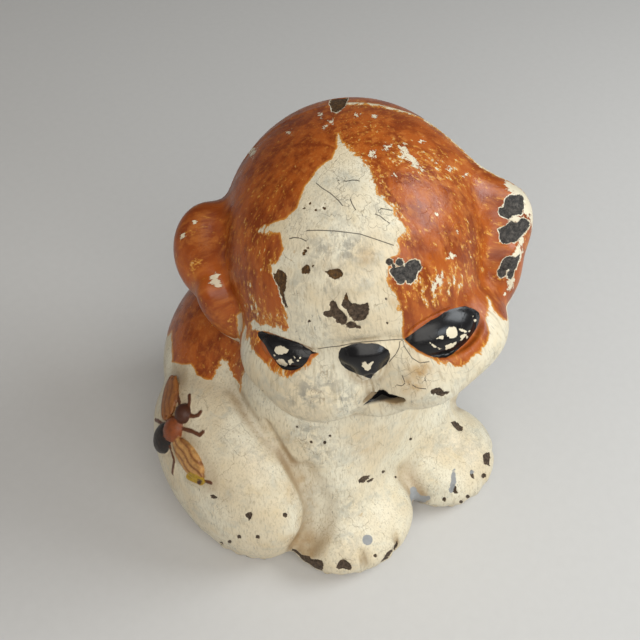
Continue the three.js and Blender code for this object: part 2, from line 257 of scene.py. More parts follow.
# Chips down to the iron: outlines, and specks as (x, y, radius)
CHIPS = {
    "crown": [
        (329.5, 103.5), (332.5, 96), (340, 95), (348, 98), (345, 105.5), (341, 109.5), (336, 112),
        (332, 111),
    ],
    "star_left": [
        (333, 300.7), (336, 302), (337.3, 305.5), (338.6, 308.6), (342.5, 312), (345.5, 315),
        (347.7, 318.4), (346.6, 322), (345.5, 324.5), (341.4, 325.2), (337.3, 323), (334.5, 319.5),
        (332.3, 316.8), (328.2, 317.7), (324, 316), (321.8, 314), (324.3, 311.6), (329, 311),
        (330.7, 309), (329.5, 304.8), (330.5, 301.8),
    ],
    "star_right": [
        (346, 292.7), (347, 295.7), (348.6, 299.5), (351.6, 303.2), (356, 304), (360.7, 304.8),
        (365.2, 303.6), (367.7, 302), (369.3, 307), (368.6, 314), (366, 318.4), (361.8, 321),
        (357.3, 320.7), (354, 320.7), (351.6, 318.4), (349, 316), (347.7, 312.3), (346, 309.3),
        (342.5, 307.7), (341, 305.5), (343.6, 299.5), (345, 295.7),
    ],
    "star_foot": [
        (346.6, 323), (350.5, 321.4), (355, 323), (357.3, 325.2), (360.7, 326), (361, 329),
        (356, 328.2), (350.5, 328.6), (346.4, 327.3), (346, 324.5),
    ],
    "middle": [
        (322, 270.2), (327.3, 271.2), (329, 270), (334.5, 269), (339.5, 268.6), (341, 270.7),
        (343, 273.6), (341.8, 276.4), (338, 279), (334.5, 279.5), (330.7, 277.5), (328.2, 275.2),
        (326.8, 273),
    ],
    "left_of_middle": [
        (305.5, 264.5), (308.4, 265.5), (310, 269.5), (309.5, 273.6), (305.5, 274), (302, 273),
        (301, 268.4), (303.2, 266.8),
    ],
    "tall": [
        (277.7, 269.5), (281.8, 270.7), (285, 273), (286.4, 276.4), (286.8, 281), (285.2, 284.3),
        (285.7, 288.2), (284, 292.7), (284.5, 298.6), (287.5, 307.7), (284.5, 307.3),
        (282.3, 302.5), (281.8, 298), (279.5, 292.7), (279, 287.7), (276.6, 284.3), (275, 279.8),
        (273.2, 276.4), (272.5, 273), (275.5, 274),
    ],
    "print": [
        (404.5, 267), (406, 264), (408, 261.5), (411, 260), (415, 260), (419, 260.8), (420, 263),
        (422, 267), (421.5, 269.5), (418, 271.5), (416.5, 274), (416, 278), (413, 281.5),
        (410, 283.5), (407.5, 283.5), (406.3, 281), (405.5, 279.5), (404.7, 281.5), (404, 283),
        (401, 284), (398, 283.5), (395.8, 280.5), (394.5, 278), (391.5, 275), (390.2, 272),
        (389.8, 269.7), (391, 268.5), (393, 267.8), (391.5, 265.5), (393, 263.7), (395, 265),
        (396, 267), (400, 266.5), (403.5, 266),
    ],
    "ear_top": [
        (504.5, 202), (506, 198), (510, 195.3), (515, 194.3), (520, 195), (523.5, 197.5),
        (524.5, 201), (524, 207), (523, 212), (521.5, 215), (517, 214.5), (513, 215.5),
        (510.5, 218), (508.5, 219), (504, 217.5), (500, 215.5), (498.7, 212), (499, 208.5),
        (501.5, 208), (504, 207.5), (504.3, 204.5),
    ],
    "ear_middle": [
        (498, 229), (502, 227.5), (506, 225.5), (509, 222.5), (511.5, 220.5), (514, 222),
        (517, 223), (519.5, 221), (520.5, 218.5), (524, 218.3), (528, 220), (530, 223),
        (529.5, 227), (527, 231), (524, 234), (521.5, 236.8), (519.5, 238), (517.5, 241),
        (514, 242.3), (510, 242.5), (507, 243.8), (503.5, 243.5), (501, 241.5), (500, 238),
        (499.5, 233),
    ],
    "ear_low": [
        (503, 260), (506, 257.5), (510, 256.3), (513, 256.5), (515.5, 257.5), (518, 256),
        (520, 254), (521, 256), (520, 259), (518.5, 262), (517, 266), (516, 269), (514, 272),
        (513.5, 276), (511.5, 279.3), (509.5, 279.5), (507.5, 276), (507.5, 273), (509.8, 270.3),
        (508.5, 269.8), (506.5, 271.5), (505.5, 274.5), (504.5, 276.5), (501, 277.3), (498, 275.5),
        (497.5, 272), (499.5, 268), (501, 264),
    ],
    "muzzle": [
        (430.7, 394), (430.5, 391), (433, 389.5), (436, 388.3), (440, 388), (442.5, 390),
        (444, 392), (447, 391.5), (450.5, 392), (448, 394), (444, 395.5), (440, 396.3),
        (437, 395.5), (435, 394.3), (432.5, 395.5),
    ],
    "chest": [
        (359, 482.5), (358.5, 480.5), (361, 478), (363, 476.5), (367, 475.8), (370, 475.7),
        (370.3, 477), (368, 479.5), (365, 481.5), (362, 483), (360, 483.3),
    ],
    "chest_scratch": [
        (366.5, 481.5), (370, 479.5), (373, 478), (374.5, 478.5), (372.5, 480.5), (369, 482.5),
    ],
    "haunch": [
        (245, 515), (248, 512.5), (251, 512.5), (252.5, 514.5), (251.5, 518), (249, 520.5),
        (247, 518),
    ],
    "haunch_dash": [
        (210, 495.5), (213, 494.5), (216, 496.5), (219, 498.5), (214, 499), (211.5, 498),
    ],
    "paw": [
        (336, 568), (338, 563), (340, 560.5), (343, 559.5), (347, 561), (350.5, 564), (352, 568),
        (350.5, 570.5), (346, 569.5), (341, 569), (338, 570),
    ],
    "paw_edge": [
        (292, 549), (296, 550), (302, 555), (309, 556), (311, 559), (318, 559.5), (322, 561),
        (323.5, 565), (322, 572), (312, 578), (290, 562),
    ],
    "paw_slash": [
        (380, 563.5), (384, 558), (387, 553), (390, 550.5), (392.5, 549.5), (393, 547), (395, 545),
        (396, 541.5), (398, 542), (397.5, 546), (395, 549.5), (392, 552), (390, 556), (386, 560.5),
        (383, 563.5),
    ],
    "left_paw_top": [(451, 422), (456, 421), (463, 427), (462.5, 431), (458, 430.5), (454, 427)],
    "left_paw_side": [(470, 471), (472, 469), (473.5, 474), (475, 479), (472, 478), (470.5, 475)],
    "left_paw_front": [
        (450.5, 489), (453, 484.5), (456, 486), (457, 491), (458.5, 493.5), (455, 494),
        (452.5, 492),
    ],
    "left_paw_edge": [(483, 455), (486, 453), (490, 452), (490, 466), (484, 464)],
}
CHIP_SPECKS = [
    (389.3, 262, 3.6), (399.8, 262.5, 3.6), (307.7, 248, 1), (305.5, 251, 1.5), (304, 253.6, 1.2),
    (313, 266, 1), (315, 268.5, 0.8), (310, 203, 1), (324, 208, 1.8), (304, 208, 1), (316, 210, 1),
    (325, 204, 0.8), (383.5, 472, 1.6), (239, 537, 2), (257.5, 537.5, 2.2), (229.5, 542, 1.8),
    (221, 544, 2), (285, 515, 2.2), (375.5, 556, 1.8), (411, 439.5, 1.5), (297, 427, 1),
    (311, 442, 1.2), (325, 442.5, 1.5), (330, 436, 1.2), (396, 477, 1.2), (303, 255, 0.8),
    (387, 323, 1), (309, 321.5, 1.6), (386, 299, 1), (262, 391, 0.8), (444, 499.5, 2),
    (461, 502, 1.6), (468, 497, 2.0), (484, 476, 2.4),
]
# Chips on the sides that the view doesn't see, each (x, y, z, radius) in millimetres
HIDDEN_CHIPS = [
    (40, 24, 30, 2.2), (44, 21, 27, 1.4), (14, 41, 40, 1.8), (-18, 40, 30, 2.4),
    (-21, 39, 27, 1.6), (30, 10, 98, 2.6), (33, 7, 95, 1.6), (12, 26, 96, 1.8), (-4, 28, 84, 1.3),
    (46, -2, 14, 1.8), (24, 36, 16, 1.6), (-36, 30, 12, 2.0), (0, 46, 22, 1.5),
]
# Where bare iron looks grey rather than brown: from here to the right, in pixels
GREY_IRON_FROM = (365, 395)
GREY_IRON_ABOVE = 300
GREY_IRON_BELOW = 0.5
# Grey filler, each (x, y, radius)
FILLER = [
    (367.5, 540, 5.3), (413.5, 490, 3.5), (415, 497, 5.5), (417, 503, 5.5), (423, 499, 4),
    (428, 498, 2.5), (454, 470, 1.6), (453.5, 474, 2.4), (453.5, 478, 2.8), (453.5, 482, 2.8),
    (452.5, 486, 2.8), (451, 490, 2.6), (472, 472, 2.0),
]
# Cream that shows through the black or the orange: outlines, and specks as (x, y, radius)
FLAKES = {
    "ear_rim": [
        (503, 184), (508, 190), (516, 193.5), (523, 196.5), (525, 203), (524.8, 212),
        (529.5, 215.5), (531, 224), (532.5, 234), (545, 236), (545, 205), (530, 180), (510, 175),
    ],
    "ear_bridge": [
        (510.5, 218.5), (513, 216), (517, 215), (521.5, 215.5), (524.5, 217), (520.5, 218),
        (519.5, 221), (517, 222.7), (514, 221.8), (511.5, 220), (509, 221), (507, 220.5),
    ],
    "ear_gap": [
        (521.5, 237), (522.5, 243), (520.5, 247), (522, 252), (519.5, 254.5), (517, 257),
        (513, 256), (512.3, 252.5), (514.5, 251), (516.5, 248), (518, 246), (517, 242),
        (519.5, 239),
    ],
    "ear_foot": [
        (508, 280), (511, 280.5), (514, 278.5), (512.5, 285), (511, 290), (508, 293), (505, 294),
        (507.5, 287),
    ],
    "right_ear": [
        (207.5, 283), (210, 279.3), (213.8, 274.3), (216.3, 271.8), (220, 279.3), (222, 287.5),
        (216.3, 286.8),
    ],
    "crown_left": [(249, 156), (252, 148), (256, 145), (255, 152), (251, 158)],
    "crown_right": [
        (399, 146), (404, 144.5), (408, 152), (414, 159), (421, 166), (424, 172), (418, 168),
        (410, 162), (403, 155),
    ],
    "brow": [
        (430.5, 290), (433, 284), (437, 279), (440, 272), (443, 274), (446, 278), (442, 283),
        (437, 286), (434, 291),
    ],
    "temple": [(449, 258), (452, 253.5), (455, 256), (452, 260)],
    "right_eye_light": [
        (274, 350), (276, 347), (280, 345.7), (285, 347), (288, 350), (287, 353), (283, 354.7),
        (278, 354),
    ],
    "right_eye_flake": [
        (276, 361), (279, 358.5), (283, 360), (287, 362.5), (288, 365), (284, 366.5), (280, 364.5),
    ],
    "right_eye_chip": [(288, 360.5), (291, 359.5), (293, 362), (290, 364)],
    "left_eye_tail": [
        (459, 328.5), (463, 329), (467, 331), (470, 330.5), (466, 332.5), (461, 331.5),
    ],
    "left_eye_dash": [(436, 338.5), (440, 336), (444, 336), (443.5, 339), (439, 339.5)],
    "left_eye_curl": [
        (429, 342.5), (432, 342.5), (434, 345), (439, 347.5), (444, 349), (440, 349.5),
        (435, 347.3), (431, 345),
    ],
    "left_eye_low": [
        (445, 346), (449, 344), (453, 343), (456, 341.5), (457.5, 343.5), (453, 346.5), (449, 349),
        (446, 349),
    ],
    "left_eye_side": [
        (460, 336.5), (463, 334.5), (466, 333.5), (467, 336), (463, 339.5), (459, 341.5),
        (461, 338.5),
    ],
    "nose": [
        (362, 363), (365, 361), (368, 364.5), (370, 363), (373, 362), (371, 366.5), (371.5, 368.5),
        (368, 372), (365.5, 370), (362, 366.5),
    ],
}
FLAKE_SPECKS = [
    (452, 332.5, 5.8), (466.5, 337, 1), (473, 316.5, 1), (475, 320.5, 1.3), (295, 357, 1),
    (298, 361, 1.2), (300, 358, 0.8), (275, 355.5, 0.9), (387, 146.8, 2.4), (421, 140.5, 1.6),
    (437, 162, 1.4), (447, 168, 1.4), (450, 169.5, 1.1), (465, 175, 1.3), (372.5, 154, 2.6),
    (375, 115.5, 1.4), (357.5, 116, 1.2), (321, 115, 1.4), (331, 121.8, 1.4), (325, 126.8, 1.2),
    (289, 133, 1.1), (195, 223, 1.4), (183, 236, 1.5), (260, 231, 1.3), (458, 232, 1),
    (437, 215, 1), (394, 174, 1.2),
]
# Cracks in the enamel
CRACKS = [
    [(306, 230.5), (320, 230.2), (335, 231), (348, 232.5), (360, 234), (378, 240), (394, 245.5)],
    [(335, 180.5), (341, 180), (346, 181.2), (352, 180), (357, 180.2), (362, 182)],
    [(315, 182), (322, 188), (330, 193), (338, 200), (344, 207.5)],
    [(317, 349), (328, 347.2), (340, 346), (352, 343.4), (362, 342), (376, 341), (390, 340), (406, 339)],
    [(400, 341), (399, 348), (396, 354), (389, 362)],
    [(372.5, 213), (380, 216), (386, 221), (391, 224)],
    [(377.5, 208), (385, 209), (392.5, 210.5)],
    [(287.5, 239), (294, 237.5), (300, 238), (307.5, 241.8)],
    [(350, 198), (352, 204), (355, 209), (357.5, 213)],
    [(404, 346), (412, 358), (420, 363), (430, 361.5)],
    [(402, 375), (405, 383), (402, 386), (393, 384)],
    [(411, 384), (417, 388), (427, 389)],
    [(424, 375), (426, 383)],
]
# Soft patches, each (x, y, radius, strength): paint worn thin, grime and painted shade, and warm varnish
# stains with painted shade in a crease
WORN = [
    (352, 150, 10, 0.8), (364, 162, 12, 0.9), (374, 178, 12, 0.9), (382, 195, 12, 0.9),
    (393, 208, 12, 0.9), (400, 224, 14, 0.9), (404, 240, 13, 0.8), (402, 155, 18, 1.0),
    (420, 165, 18, 1.0), (438, 168, 18, 1.0), (455, 172, 18, 0.8), (472, 180, 16, 0.6),
    (415, 285, 20, 1.0), (432, 288, 22, 1.0), (452, 280, 20, 1.0), (470, 268, 20, 0.8),
    (392, 285, 9, 0.9), (398, 310, 9, 0.8), (478, 245, 18, 0.5), (462, 225, 20, 0.5),
    (255, 305, 16, 1.0), (268, 318, 16, 1.0), (282, 322, 12, 1.0), (248, 285, 14, 0.7),
    (250, 338, 14, 1.0), (280, 372, 16, 1.0), (304, 366, 10, 0.8), (470, 372, 16, 1.0),
    (488, 354, 12, 1.0), (488, 315, 8, 0.8), (445, 364, 12, 0.9), (235, 235, 22, 0.35),
    (255, 250, 26, 0.5), (268, 262, 12, 0.8), (262, 232, 12, 0.7), (270, 190, 24, 0.3),
    (375, 130, 26, 0.35), (450, 225, 30, 0.45), (530, 245, 14, 0.7), (525, 285, 12, 0.6),
    (195, 265, 12, 0.5), (190, 235, 10, 0.5), (230, 365, 20, 0.6), (345, 120, 26, 0.3),
    (490, 230, 26, 0.4),
]
# Grime, with painted shade where the left side of the muzzle lies in shade
GRIME_AND_SHADE = [
    (345, 246, 24, 0.9), (322, 248, 16, 0.8), (368, 250, 16, 0.6), (335, 276, 18, 0.7),
    (360, 278, 14, 0.5), (310, 262, 16, 0.6), (300, 285, 12, 0.5), (325, 382, 15, 1.0),
    (308, 393, 20, 1.0), (345, 397, 16, 0.9), (292, 398, 12, 0.7), (300, 380, 12, 0.6),
    (308, 432, 18, 0.7), (322, 452, 16, 0.7), (262, 452, 22, 0.4), (225, 440, 18, 0.35),
    (330, 205, 24, 0.4), (345, 183, 14, 0.5), (303, 325, 16, 0.5), (330, 335, 16, 0.4),
    (360, 330, 14, 0.5), (470, 445, 18, 0.5), (440, 440, 16, 0.4), (350, 505, 20, 0.45),
    (230, 400, 18, 0.4), (380, 210, 10, 0.6), (345, 545, 18, 0.4), (360, 450, 16, 0.4),
    (300, 500, 16, 0.4), (420, 490, 14, 0.6), (300, 220, 14, 0.4), (385, 195, 10, 0.4),
    (360, 170, 8, 0.4), (405, 372, 12, 0.3), (250, 490, 20, 0.3),
]
# Warm stains; those running down the haunch's crease, from (268, 425) to (304, 526), are both stain and
# painted shade in that crease
STAINS_AND_SHADE = [
    (412, 386, 10, 1.0), (422, 373, 12, 1.0), (392, 402, 9, 0.7), (330, 262, 10, 0.4),
    (367, 258, 8, 0.5), (300, 490, 18, 0.35), (395, 300, 9, 0.5), (365, 447, 14, 0.3),
    (308, 545, 14, 0.9), (298, 540, 10, 0.8), (268, 425, 10, 0.35), (280, 445, 11, 0.4),
    (291, 463, 11, 0.45), (300, 482, 11, 0.45), (306, 505, 11, 0.4), (304, 526, 10, 0.5),
]
# How the view's paint gives way to the rest where the skin turns from it
SEEN_GRAZING = 0.04
SEEN_FADE = 0.2
RAY_START = 0.4
SPOT_BLEND = 1.6
FAR_AWAY = -20.0
NO_SPOT = 1e6
LINE_END = 0.5
ORANGE_MOST = 8.0

# The bee's paint: a colour for each part, the wings' veins, and a yellow mark at the near wing's tip
BEE_TINTS = {
    "head": (0.06, 0.018, 0.008), "thorax": (0.22, 0.055, 0.014), "abdomen": (0.010, 0.008, 0.007),
    "near_wing": (0.50, 0.26, 0.08), "far_wing": (0.32, 0.12, 0.03),
}
BEE_WINGS = ("near_wing", "far_wing")
BEE_VEIN = (0.20, 0.065, 0.016)
BEE_VEIN_PITCH = 2.6
BEE_VEIN_WAVE = 0.9
BEE_VEIN_SHARPNESS = 3
BEE_LEG_TINT = (0.11, 0.035, 0.012)
BEE_YELLOW = (0.42, 0.26, 0.01)
BEE_YELLOW_ROUTE = [(190, 476.5), (201, 481.5)]
BEE_YELLOW_RADIUS = 4.0
BEE_SPOT_AT = (199.5, 482)
BEE_SPOT_RADIUS = 2.6

# Lengths of the paint, in millimetres
SEAM_BARE = 0.7
SEAM_FROM = 4.0
SEAM_WORN = 0.85
SEAM_REACH = 2.5
CHIP_DEPTH = 0.22
CHIP_BEVEL = 0.25
NOSE_PAINT = 0.3
MOUTH_PAINT = 0.4
EYE_PAINT_REACH = 6.0
BEE_PAINT = 0.25
FOOT_WEAR = 0.5
HIDDEN_WEAR = 0.35
HIDDEN_GRIME = 0.15
HOLLOW_REACHES = (2.5, 5.0, 9.0)
# The brush ran out from the top of the blaze, a place in the head's frame
BLAZE_TOP = np.array([0.0, -12.0, 36.0])
STROKE_RADIUS = 30.0
STROKE_SPREAD = 1.8
STROKE_SQUEEZE = 0.5

# Colours, linear
CREAM_WARM = (0.65, 0.555, 0.385)
CREAM_PALE = (0.70, 0.65, 0.505)
CREAM_YELLOW = (0.62, 0.47, 0.24)
CREAM_GREY = (0.46, 0.45, 0.37)
CREAM_HATCH = (0.44, 0.37, 0.25)
# Grey of grime, of painted shade and of fine scratches
GREY_GRIME_AND_SHADE = (0.20, 0.195, 0.17)
GRIME_DARK = (0.07, 0.06, 0.045)
# Brown of stains, of blots, and of painted shade in the haunch's crease
BROWN_STAIN_AND_SHADE = (0.38, 0.21, 0.055)
# Brown of dirt and of painted shade in the hollows
HOLLOW_DIRT_AND_SHADE = (0.30, 0.20, 0.10)
CRAZE_BROWN = (0.16, 0.11, 0.06)
# Painted shade inside the mouth
MOUTH_SHADE = (0.03, 0.03, 0.028)
ORANGE_DARK = (0.21, 0.037, 0.003)
ORANGE_MID = (0.36, 0.082, 0.009)
ORANGE_LIGHT = (0.50, 0.16, 0.026)
ORANGE_THIN = (0.64, 0.30, 0.045)
BEE_SHADE = (0.05, 0.02, 0.008)
BLACK_PAINT = (0.004, 0.004, 0.005)
BLACK_WORN = (0.012, 0.011, 0.011)
IRON_BROWN = (0.040, 0.020, 0.007)
IRON_RUST = (0.15, 0.072, 0.018)
IRON_DARK = (0.010, 0.009, 0.008)
IRON_GREY = (0.11, 0.098, 0.085)
FILLER_DARK = (0.20, 0.205, 0.21)
FILLER_PALE = (0.33, 0.335, 0.33)
FLOOR_PALE = (0.56, 0.55, 0.535)
FLOOR_DARK = (0.53, 0.52, 0.505)

# The shine, and the roughness of each coat, from its smoothest to its roughest places
SHINE = 0.33
CREAM_ROUGHNESS = (0.36, 0.5)
ORANGE_ROUGHNESS = (0.27, 0.42)
BLACK_ROUGHNESS = (0.2, 0.27)
IRON_ROUGHNESS = (0.55, 0.75)
FLOOR_ROUGHNESS = 0.8
# Sizes of the patterns in the paint, in millimetres
GRAINS = {
    "broad": 16, "middling": 4.5, "fine": 1.1, "ragged": 1.8, "streak": 1.6, "long_streak": 4.0,
    "mottle": 6.0, "hatch": 0.5, "dirt_and_shade": 2.4, "blot": 2.6, "speck": 0.7, "craze": 7.0, "craze_stir": 4.0,
    "dash": 0.6, "brushed": 1.1, "grit": 0.5, "ring": 1.3, "pit": 0.9, "floor": 3.0,
}
SCRATCH_STRETCH = (0.4, 1.0, 1.0)
# Heights of the finest relief, in millimetres, and how much of it is left on the black
RELIEF = {
    "middling": 0.16, "streak": 0.10, "fine": 0.05, "orange": 0.04, "craze": -0.03, "pit": -0.12,
    "crack": -0.1, "flake": -0.05,
}
RELIEF_ON_BLACK = 0.15

# Light: where each soft light is, with its distance and size in metres, and its power
LIGHTS = {
    "window": {
        "azimuth": 46, "elevation": 37, "distance": 0.6, "size": 0.32,
        "energy": 2.5, "colour": (0.92, 0.97, 1.0),
    },
    "low": {
        "azimuth": 0, "elevation": 24, "distance": 0.6, "size": 0.16,
        "energy": 0.55, "colour": (0.85, 0.93, 1.0),
    },
    "front": {
        "azimuth": -38, "elevation": 38, "distance": 1.0, "size": 0.9,
        "energy": 7.0, "colour": (1.0, 0.97, 0.92),
    },
    "top": {
        "azimuth": -60, "elevation": 70, "distance": 0.9, "size": 0.9,
        "energy": 1.3, "colour": (1.0, 0.96, 0.9),
    },
    "left": {
        "azimuth": -115, "elevation": 25, "distance": 0.8, "size": 0.5,
        "energy": 0.3, "colour": (1.0, 0.94, 0.86),
    },
}
WORLD_COLOUR = (1.0, 0.99, 0.97, 1.0)
WORLD_STRENGTH = 0.15
FLOOR_HALF = 3.0

# Fineness of the mesh
GRID_LOW = np.array([-60.0, -60.0, -12.0])
GRID_HIGH = np.array([60.0, 60.0, 132.0])
GRID_STEP = 1.0
GRID_BLOCK = 4
# How near small features, and how near edges of the paint, the mesh is made twice finer, each time
FINE_MARGINS = [(1.9, 1.05), (-1.1, 0.42)]
FINE_COATS = ("orange", "black", "chip", "flake", "crack")
SLOPE_STEP = 0.05
SLOPE_LEAST = 0.2
# Rounds of drawing points onto the skin, and the longest move of one round, in steps of the grid
LANDING_ROUNDS = 8
SETTLE_ROUNDS = 2
SETTLE_MOVE = 0.4
# Blocks this near the skin, in their own size, are worked out in full
BLOCK_REACH = 2.2


# Turns, blends and distances

def turn_of(angles):
    """The rotation by y, then x, then z."""
    x, y, z = np.radians(angles)
    about_x = np.array([[1, 0, 0], [0, np.cos(x), -np.sin(x)], [0, np.sin(x), np.cos(x)]])
    about_y = np.array([[np.cos(y), 0, np.sin(y)], [0, 1, 0], [-np.sin(y), 0, np.cos(y)]])
    about_z = np.array([[np.cos(z), -np.sin(z), 0], [np.sin(z), np.cos(z), 0], [0, 0, 1]])
    return about_z @ about_x @ about_y


def unit(vector):
    return vector / np.linalg.norm(vector)


def lengths(vectors):
    return np.sqrt((vectors * vectors).sum(axis=1))


def blended(a, b, width):
    """The nearer of two skins, with a fillet where they meet."""
    near = np.maximum(width - np.abs(a - b), 0) / width
    return np.minimum(a, b) - near * near * width / 4


def carved(a, b, width):
    """The first skin with the second one taken away."""
    return -blended(-a, b, width)


def egg_field(points, at, radii, turn=(0, 0, 0)):
    """Distance to an egg's skin, below zero inside. turn is in degrees, or a matrix of axes."""
    axes = turn if isinstance(turn, np.ndarray) else turn_of(turn)
    radii = np.array(radii, float)
    scaled = (points - np.array(at, float)) @ axes / radii
    level = lengths(scaled)
    return level * (level - 1) / np.maximum(lengths(scaled / radii), TINY)


def limb_field(points, start, start_radius, end, end_radius):
    """Distance to the skin of a cone with a ball at each end."""
    start = np.array(start, float)
    reach = np.linalg.norm(np.array(end, float) - start)
    axis = (np.array(end, float) - start) / reach
    sine = (start_radius - end_radius) / reach
    offset = points - start
    along = offset @ axis
    across = np.sqrt(np.maximum((offset * offset).sum(axis=1) - along * along, 0))
    share = np.clip((along - across * sine / math.sqrt(1 - sine * sine)) / reach, 0, 1)
    return np.hypot(across, along - share * reach) - (start_radius + share * (end_radius - start_radius))


def mass_field(points, mass):
    if mass.get("paired"):
        points = np.column_stack([np.abs(points[:, 0]), points[:, 1:]])
    if "radii" in mass:
        return egg_field(points, mass["at"], mass["radii"], mass.get("turn", (0, 0, 0)))
    return limb_field(points, mass["start"], mass["start_radius"], mass["end"], mass["end_radius"])


def joined_field(points, masses):
    skin = None
    for mass in masses:
        near = mass_field(points, mass)
        skin = near if skin is None else blended(skin, near, mass["blend"])
    return skin


def crease_field(points, route, radius):
    parts = [limb_field(points, a, radius, b, radius) for a, b in zip(route, route[1:])]
    return np.minimum.reduce(parts)


# The puppy's form

HEAD_AXES = turn_of(HEAD_TURN)


def to_head(points):
    return (points - HEAD_AT) @ HEAD_AXES


def eye_frame(eye):
    """An eye's middle on its lid line, its axes (along, down, out), half width, drop and arch."""
    inner, outer, low, looks = (np.array(eye[key], float) for key in ("inner", "outer", "low", "looks"))
    middle = (inner + outer) / 2
    along = unit(outer - inner)
    out = unit(looks - (looks @ along) * along)
    down = np.cross(out, along)
    side = np.sign(down @ (low - middle))
    axes = np.column_stack([along * side, down * side, out])
    return middle, axes, np.linalg.norm(outer - inner) / 2, abs(down @ (low - middle)), eye["arch"]


EYE_FRAMES = [eye_frame(eye) for eye in EYES]


def socket_field(points):
    """The lower half of an egg, and a flatter egg under the arched lid."""
    parts = []
    for middle, axes, half_width, drop, arch in EYE_FRAMES:
        lower, upper = (
            egg_field(points, middle + SOCKET_LIFT * axes[:, 2],
                      (half_width + SOCKET_MARGIN, height + SOCKET_MARGIN, SOCKET_DEPTH), axes)
            for height in (drop, arch)
        )
        above = -((points - middle) @ axes[:, 1])
        parts.append(np.minimum(np.maximum(lower, above), upper))
    return np.minimum(*parts)


def eyeball_field(points):
    parts = []
    for middle, axes, half_width, drop, arch in EYE_FRAMES:
        centre = middle + (drop - arch) / 2 * axes[:, 1] - EYEBALL_SINK * axes[:, 2]
        half_height = (drop + arch) / 2
        radii = (half_width * EYEBALL_SHARE[0], half_height * EYEBALL_SHARE[1], EYEBALL_DEPTH)
        parts.append(egg_field(points, centre, radii, axes))
    return np.minimum(*parts)


def wrinkle_height(points):
    """Soft ripples over the middle of the forehead."""
    aside = points[:, 0] / WRINKLE_REACH[0]
    above = (points[:, 2] - WRINKLE_MIDDLE) / WRINKLE_REACH[1]
    front = np.clip(-points[:, 1] / WRINKLE_FADE - 1, 0, 1)
    wave = np.cos(2 * np.pi * (points[:, 2] - WRINKLE_CREST) / WRINKLE_SPACING)
    return WRINKLE_HEIGHT * wave * np.exp(-(aside ** 2 + above ** 2)) * front


def parting_offset(points):
    """How far behind the parting line each point is: the line runs forward on the ears."""
    near, far = PARTING_EAR_FROM
    ear = np.clip((np.abs(points[:, 0]) - near) / (far - near), 0, 1)
    return points[:, 1] - PARTING_AT - ear * (PARTING_EAR_AT - PARTING_AT)


def parting_height(points):
    """The low ridge where the two halves of the mould met."""
    return PARTING_HEIGHT * np.exp(-(parting_offset(points) / PARTING_WIDTH) ** 2)


def head_field(points):
    local = to_head(points)
    skin = joined_field(local, HEAD_MASSES.values())
    skin = skin - wrinkle_height(local) - parting_height(local)
    skin = carved(skin, crease_field(local, BROW_CREASE, BROW_CREASE_RADIUS), CREASE_BLEND)
    skin = carved(skin, socket_field(local), SOCKET_BLEND)
    skin = blended(skin, eyeball_field(local), EYEBALL_BLEND)
    skin = blended(skin, joined_field(local, NOSE), NOSE_BLEND)
    skin = carved(skin, crease_field(local, LIP_CREASE, LIP_CREASE_RADIUS), CREASE_BLEND)
    return carved(skin, joined_field(local, MOUTH), MOUTH_BLEND)


def toe_field(points):
    parts = []
    for (x, y), angle in PAWS:
        turn = turn_of((0, 0, angle))
        for side in (-TOE_OFFSET, TOE_OFFSET):
            start = np.array([x, y, 0]) + turn @ np.array([side, *TOE_START])
            end = np.array([x, y, 0]) + turn @ np.array([side, *TOE_END])
            parts.append(limb_field(points, start, TOE_RADII[0], end, TOE_RADII[1]))
    return np.minimum.reduce(parts)


def gutter_field(points):
    """A channel that widens down the body's side of the haunch's crease."""
    route = np.array(HAUNCH_CREASE[-len(HAUNCH_GUTTER_RADII):]) + HAUNCH_GUTTER_SHIFT
    stops = list(zip(route, HAUNCH_GUTTER_RADII))
    parts = [limb_field(points, *above, *below) for above, below in zip(stops, stops[1:])]
    return np.minimum.reduce(parts)


def foot_roughness(points):
    waves = np.sin(points @ FOOT_WAVES.T + np.arange(len(FOOT_WAVES))).mean(axis=1)
    return FOOT_ROUGHNESS * waves * np.exp(-(points[:, 2] / FOOT_ROUGH_TOP) ** 2)


def body_field(points):
    skin = carved(joined_field(points, BODY_MASSES.values()), toe_field(points), TOE_BLEND)
    skin = carved(skin, gutter_field(points), HAUNCH_GUTTER_BLEND)
    skin = carved(skin, crease_field(points, HAUNCH_CREASE, HAUNCH_CREASE_RADIUS), HAUNCH_CREASE_BLEND)
    return skin - foot_roughness(points)


def slope(field, points):
    """Which way, and how fast, a field rises."""
    columns = []
    for step in np.eye(3) * SLOPE_STEP:
        columns.append((field(points + step) - field(points - step)) / (2 * SLOPE_STEP))
    return np.column_stack(columns)


def onto_body(place):
    """The nearest point of the body's skin, and the way out of it."""
    point = place[None].astype(float)
    for _ in range(LANDING_ROUNDS):
        rise = slope(body_field, point)
        point = point - body_field(point)[:, None] * rise / (rise * rise).sum(axis=1)[:, None]
    return point[0], unit(slope(body_field, point)[0])


def bee_axes(along, across):
    """A place on the haunch, counted along and across the bee, with the bee's axes there."""
    middle, out = onto_body(BEE_AT)
    ahead = unit(BEE_HEADING - (BEE_HEADING @ out) * out)
    aside = np.cross(out, ahead)
    spot, out = onto_body(middle + along * ahead + across * aside)
    ahead = unit(ahead - (ahead @ out) * out)
    return spot, ahead, np.cross(out, ahead), out


def bee_part(along, across, lift, half, splay):
    spot, ahead, aside, out = bee_axes(along, across)
    angle = math.radians(splay)
    turned = math.cos(angle) * ahead - math.sin(angle) * aside
    return spot + lift * out, half, np.column_stack([turned, np.cross(out, turned), out])


BEE_EGGS = {name: bee_part(*sizes) for name, sizes in BEE_PARTS.items()}
BEE_ROUTES = [[bee_axes(*place)[0] for place in route] for route in BEE_LEGS]


def bee_leg_field(points):
    return np.minimum.reduce([crease_field(points, route, BEE_LEG_RADIUS) for route in BEE_ROUTES])


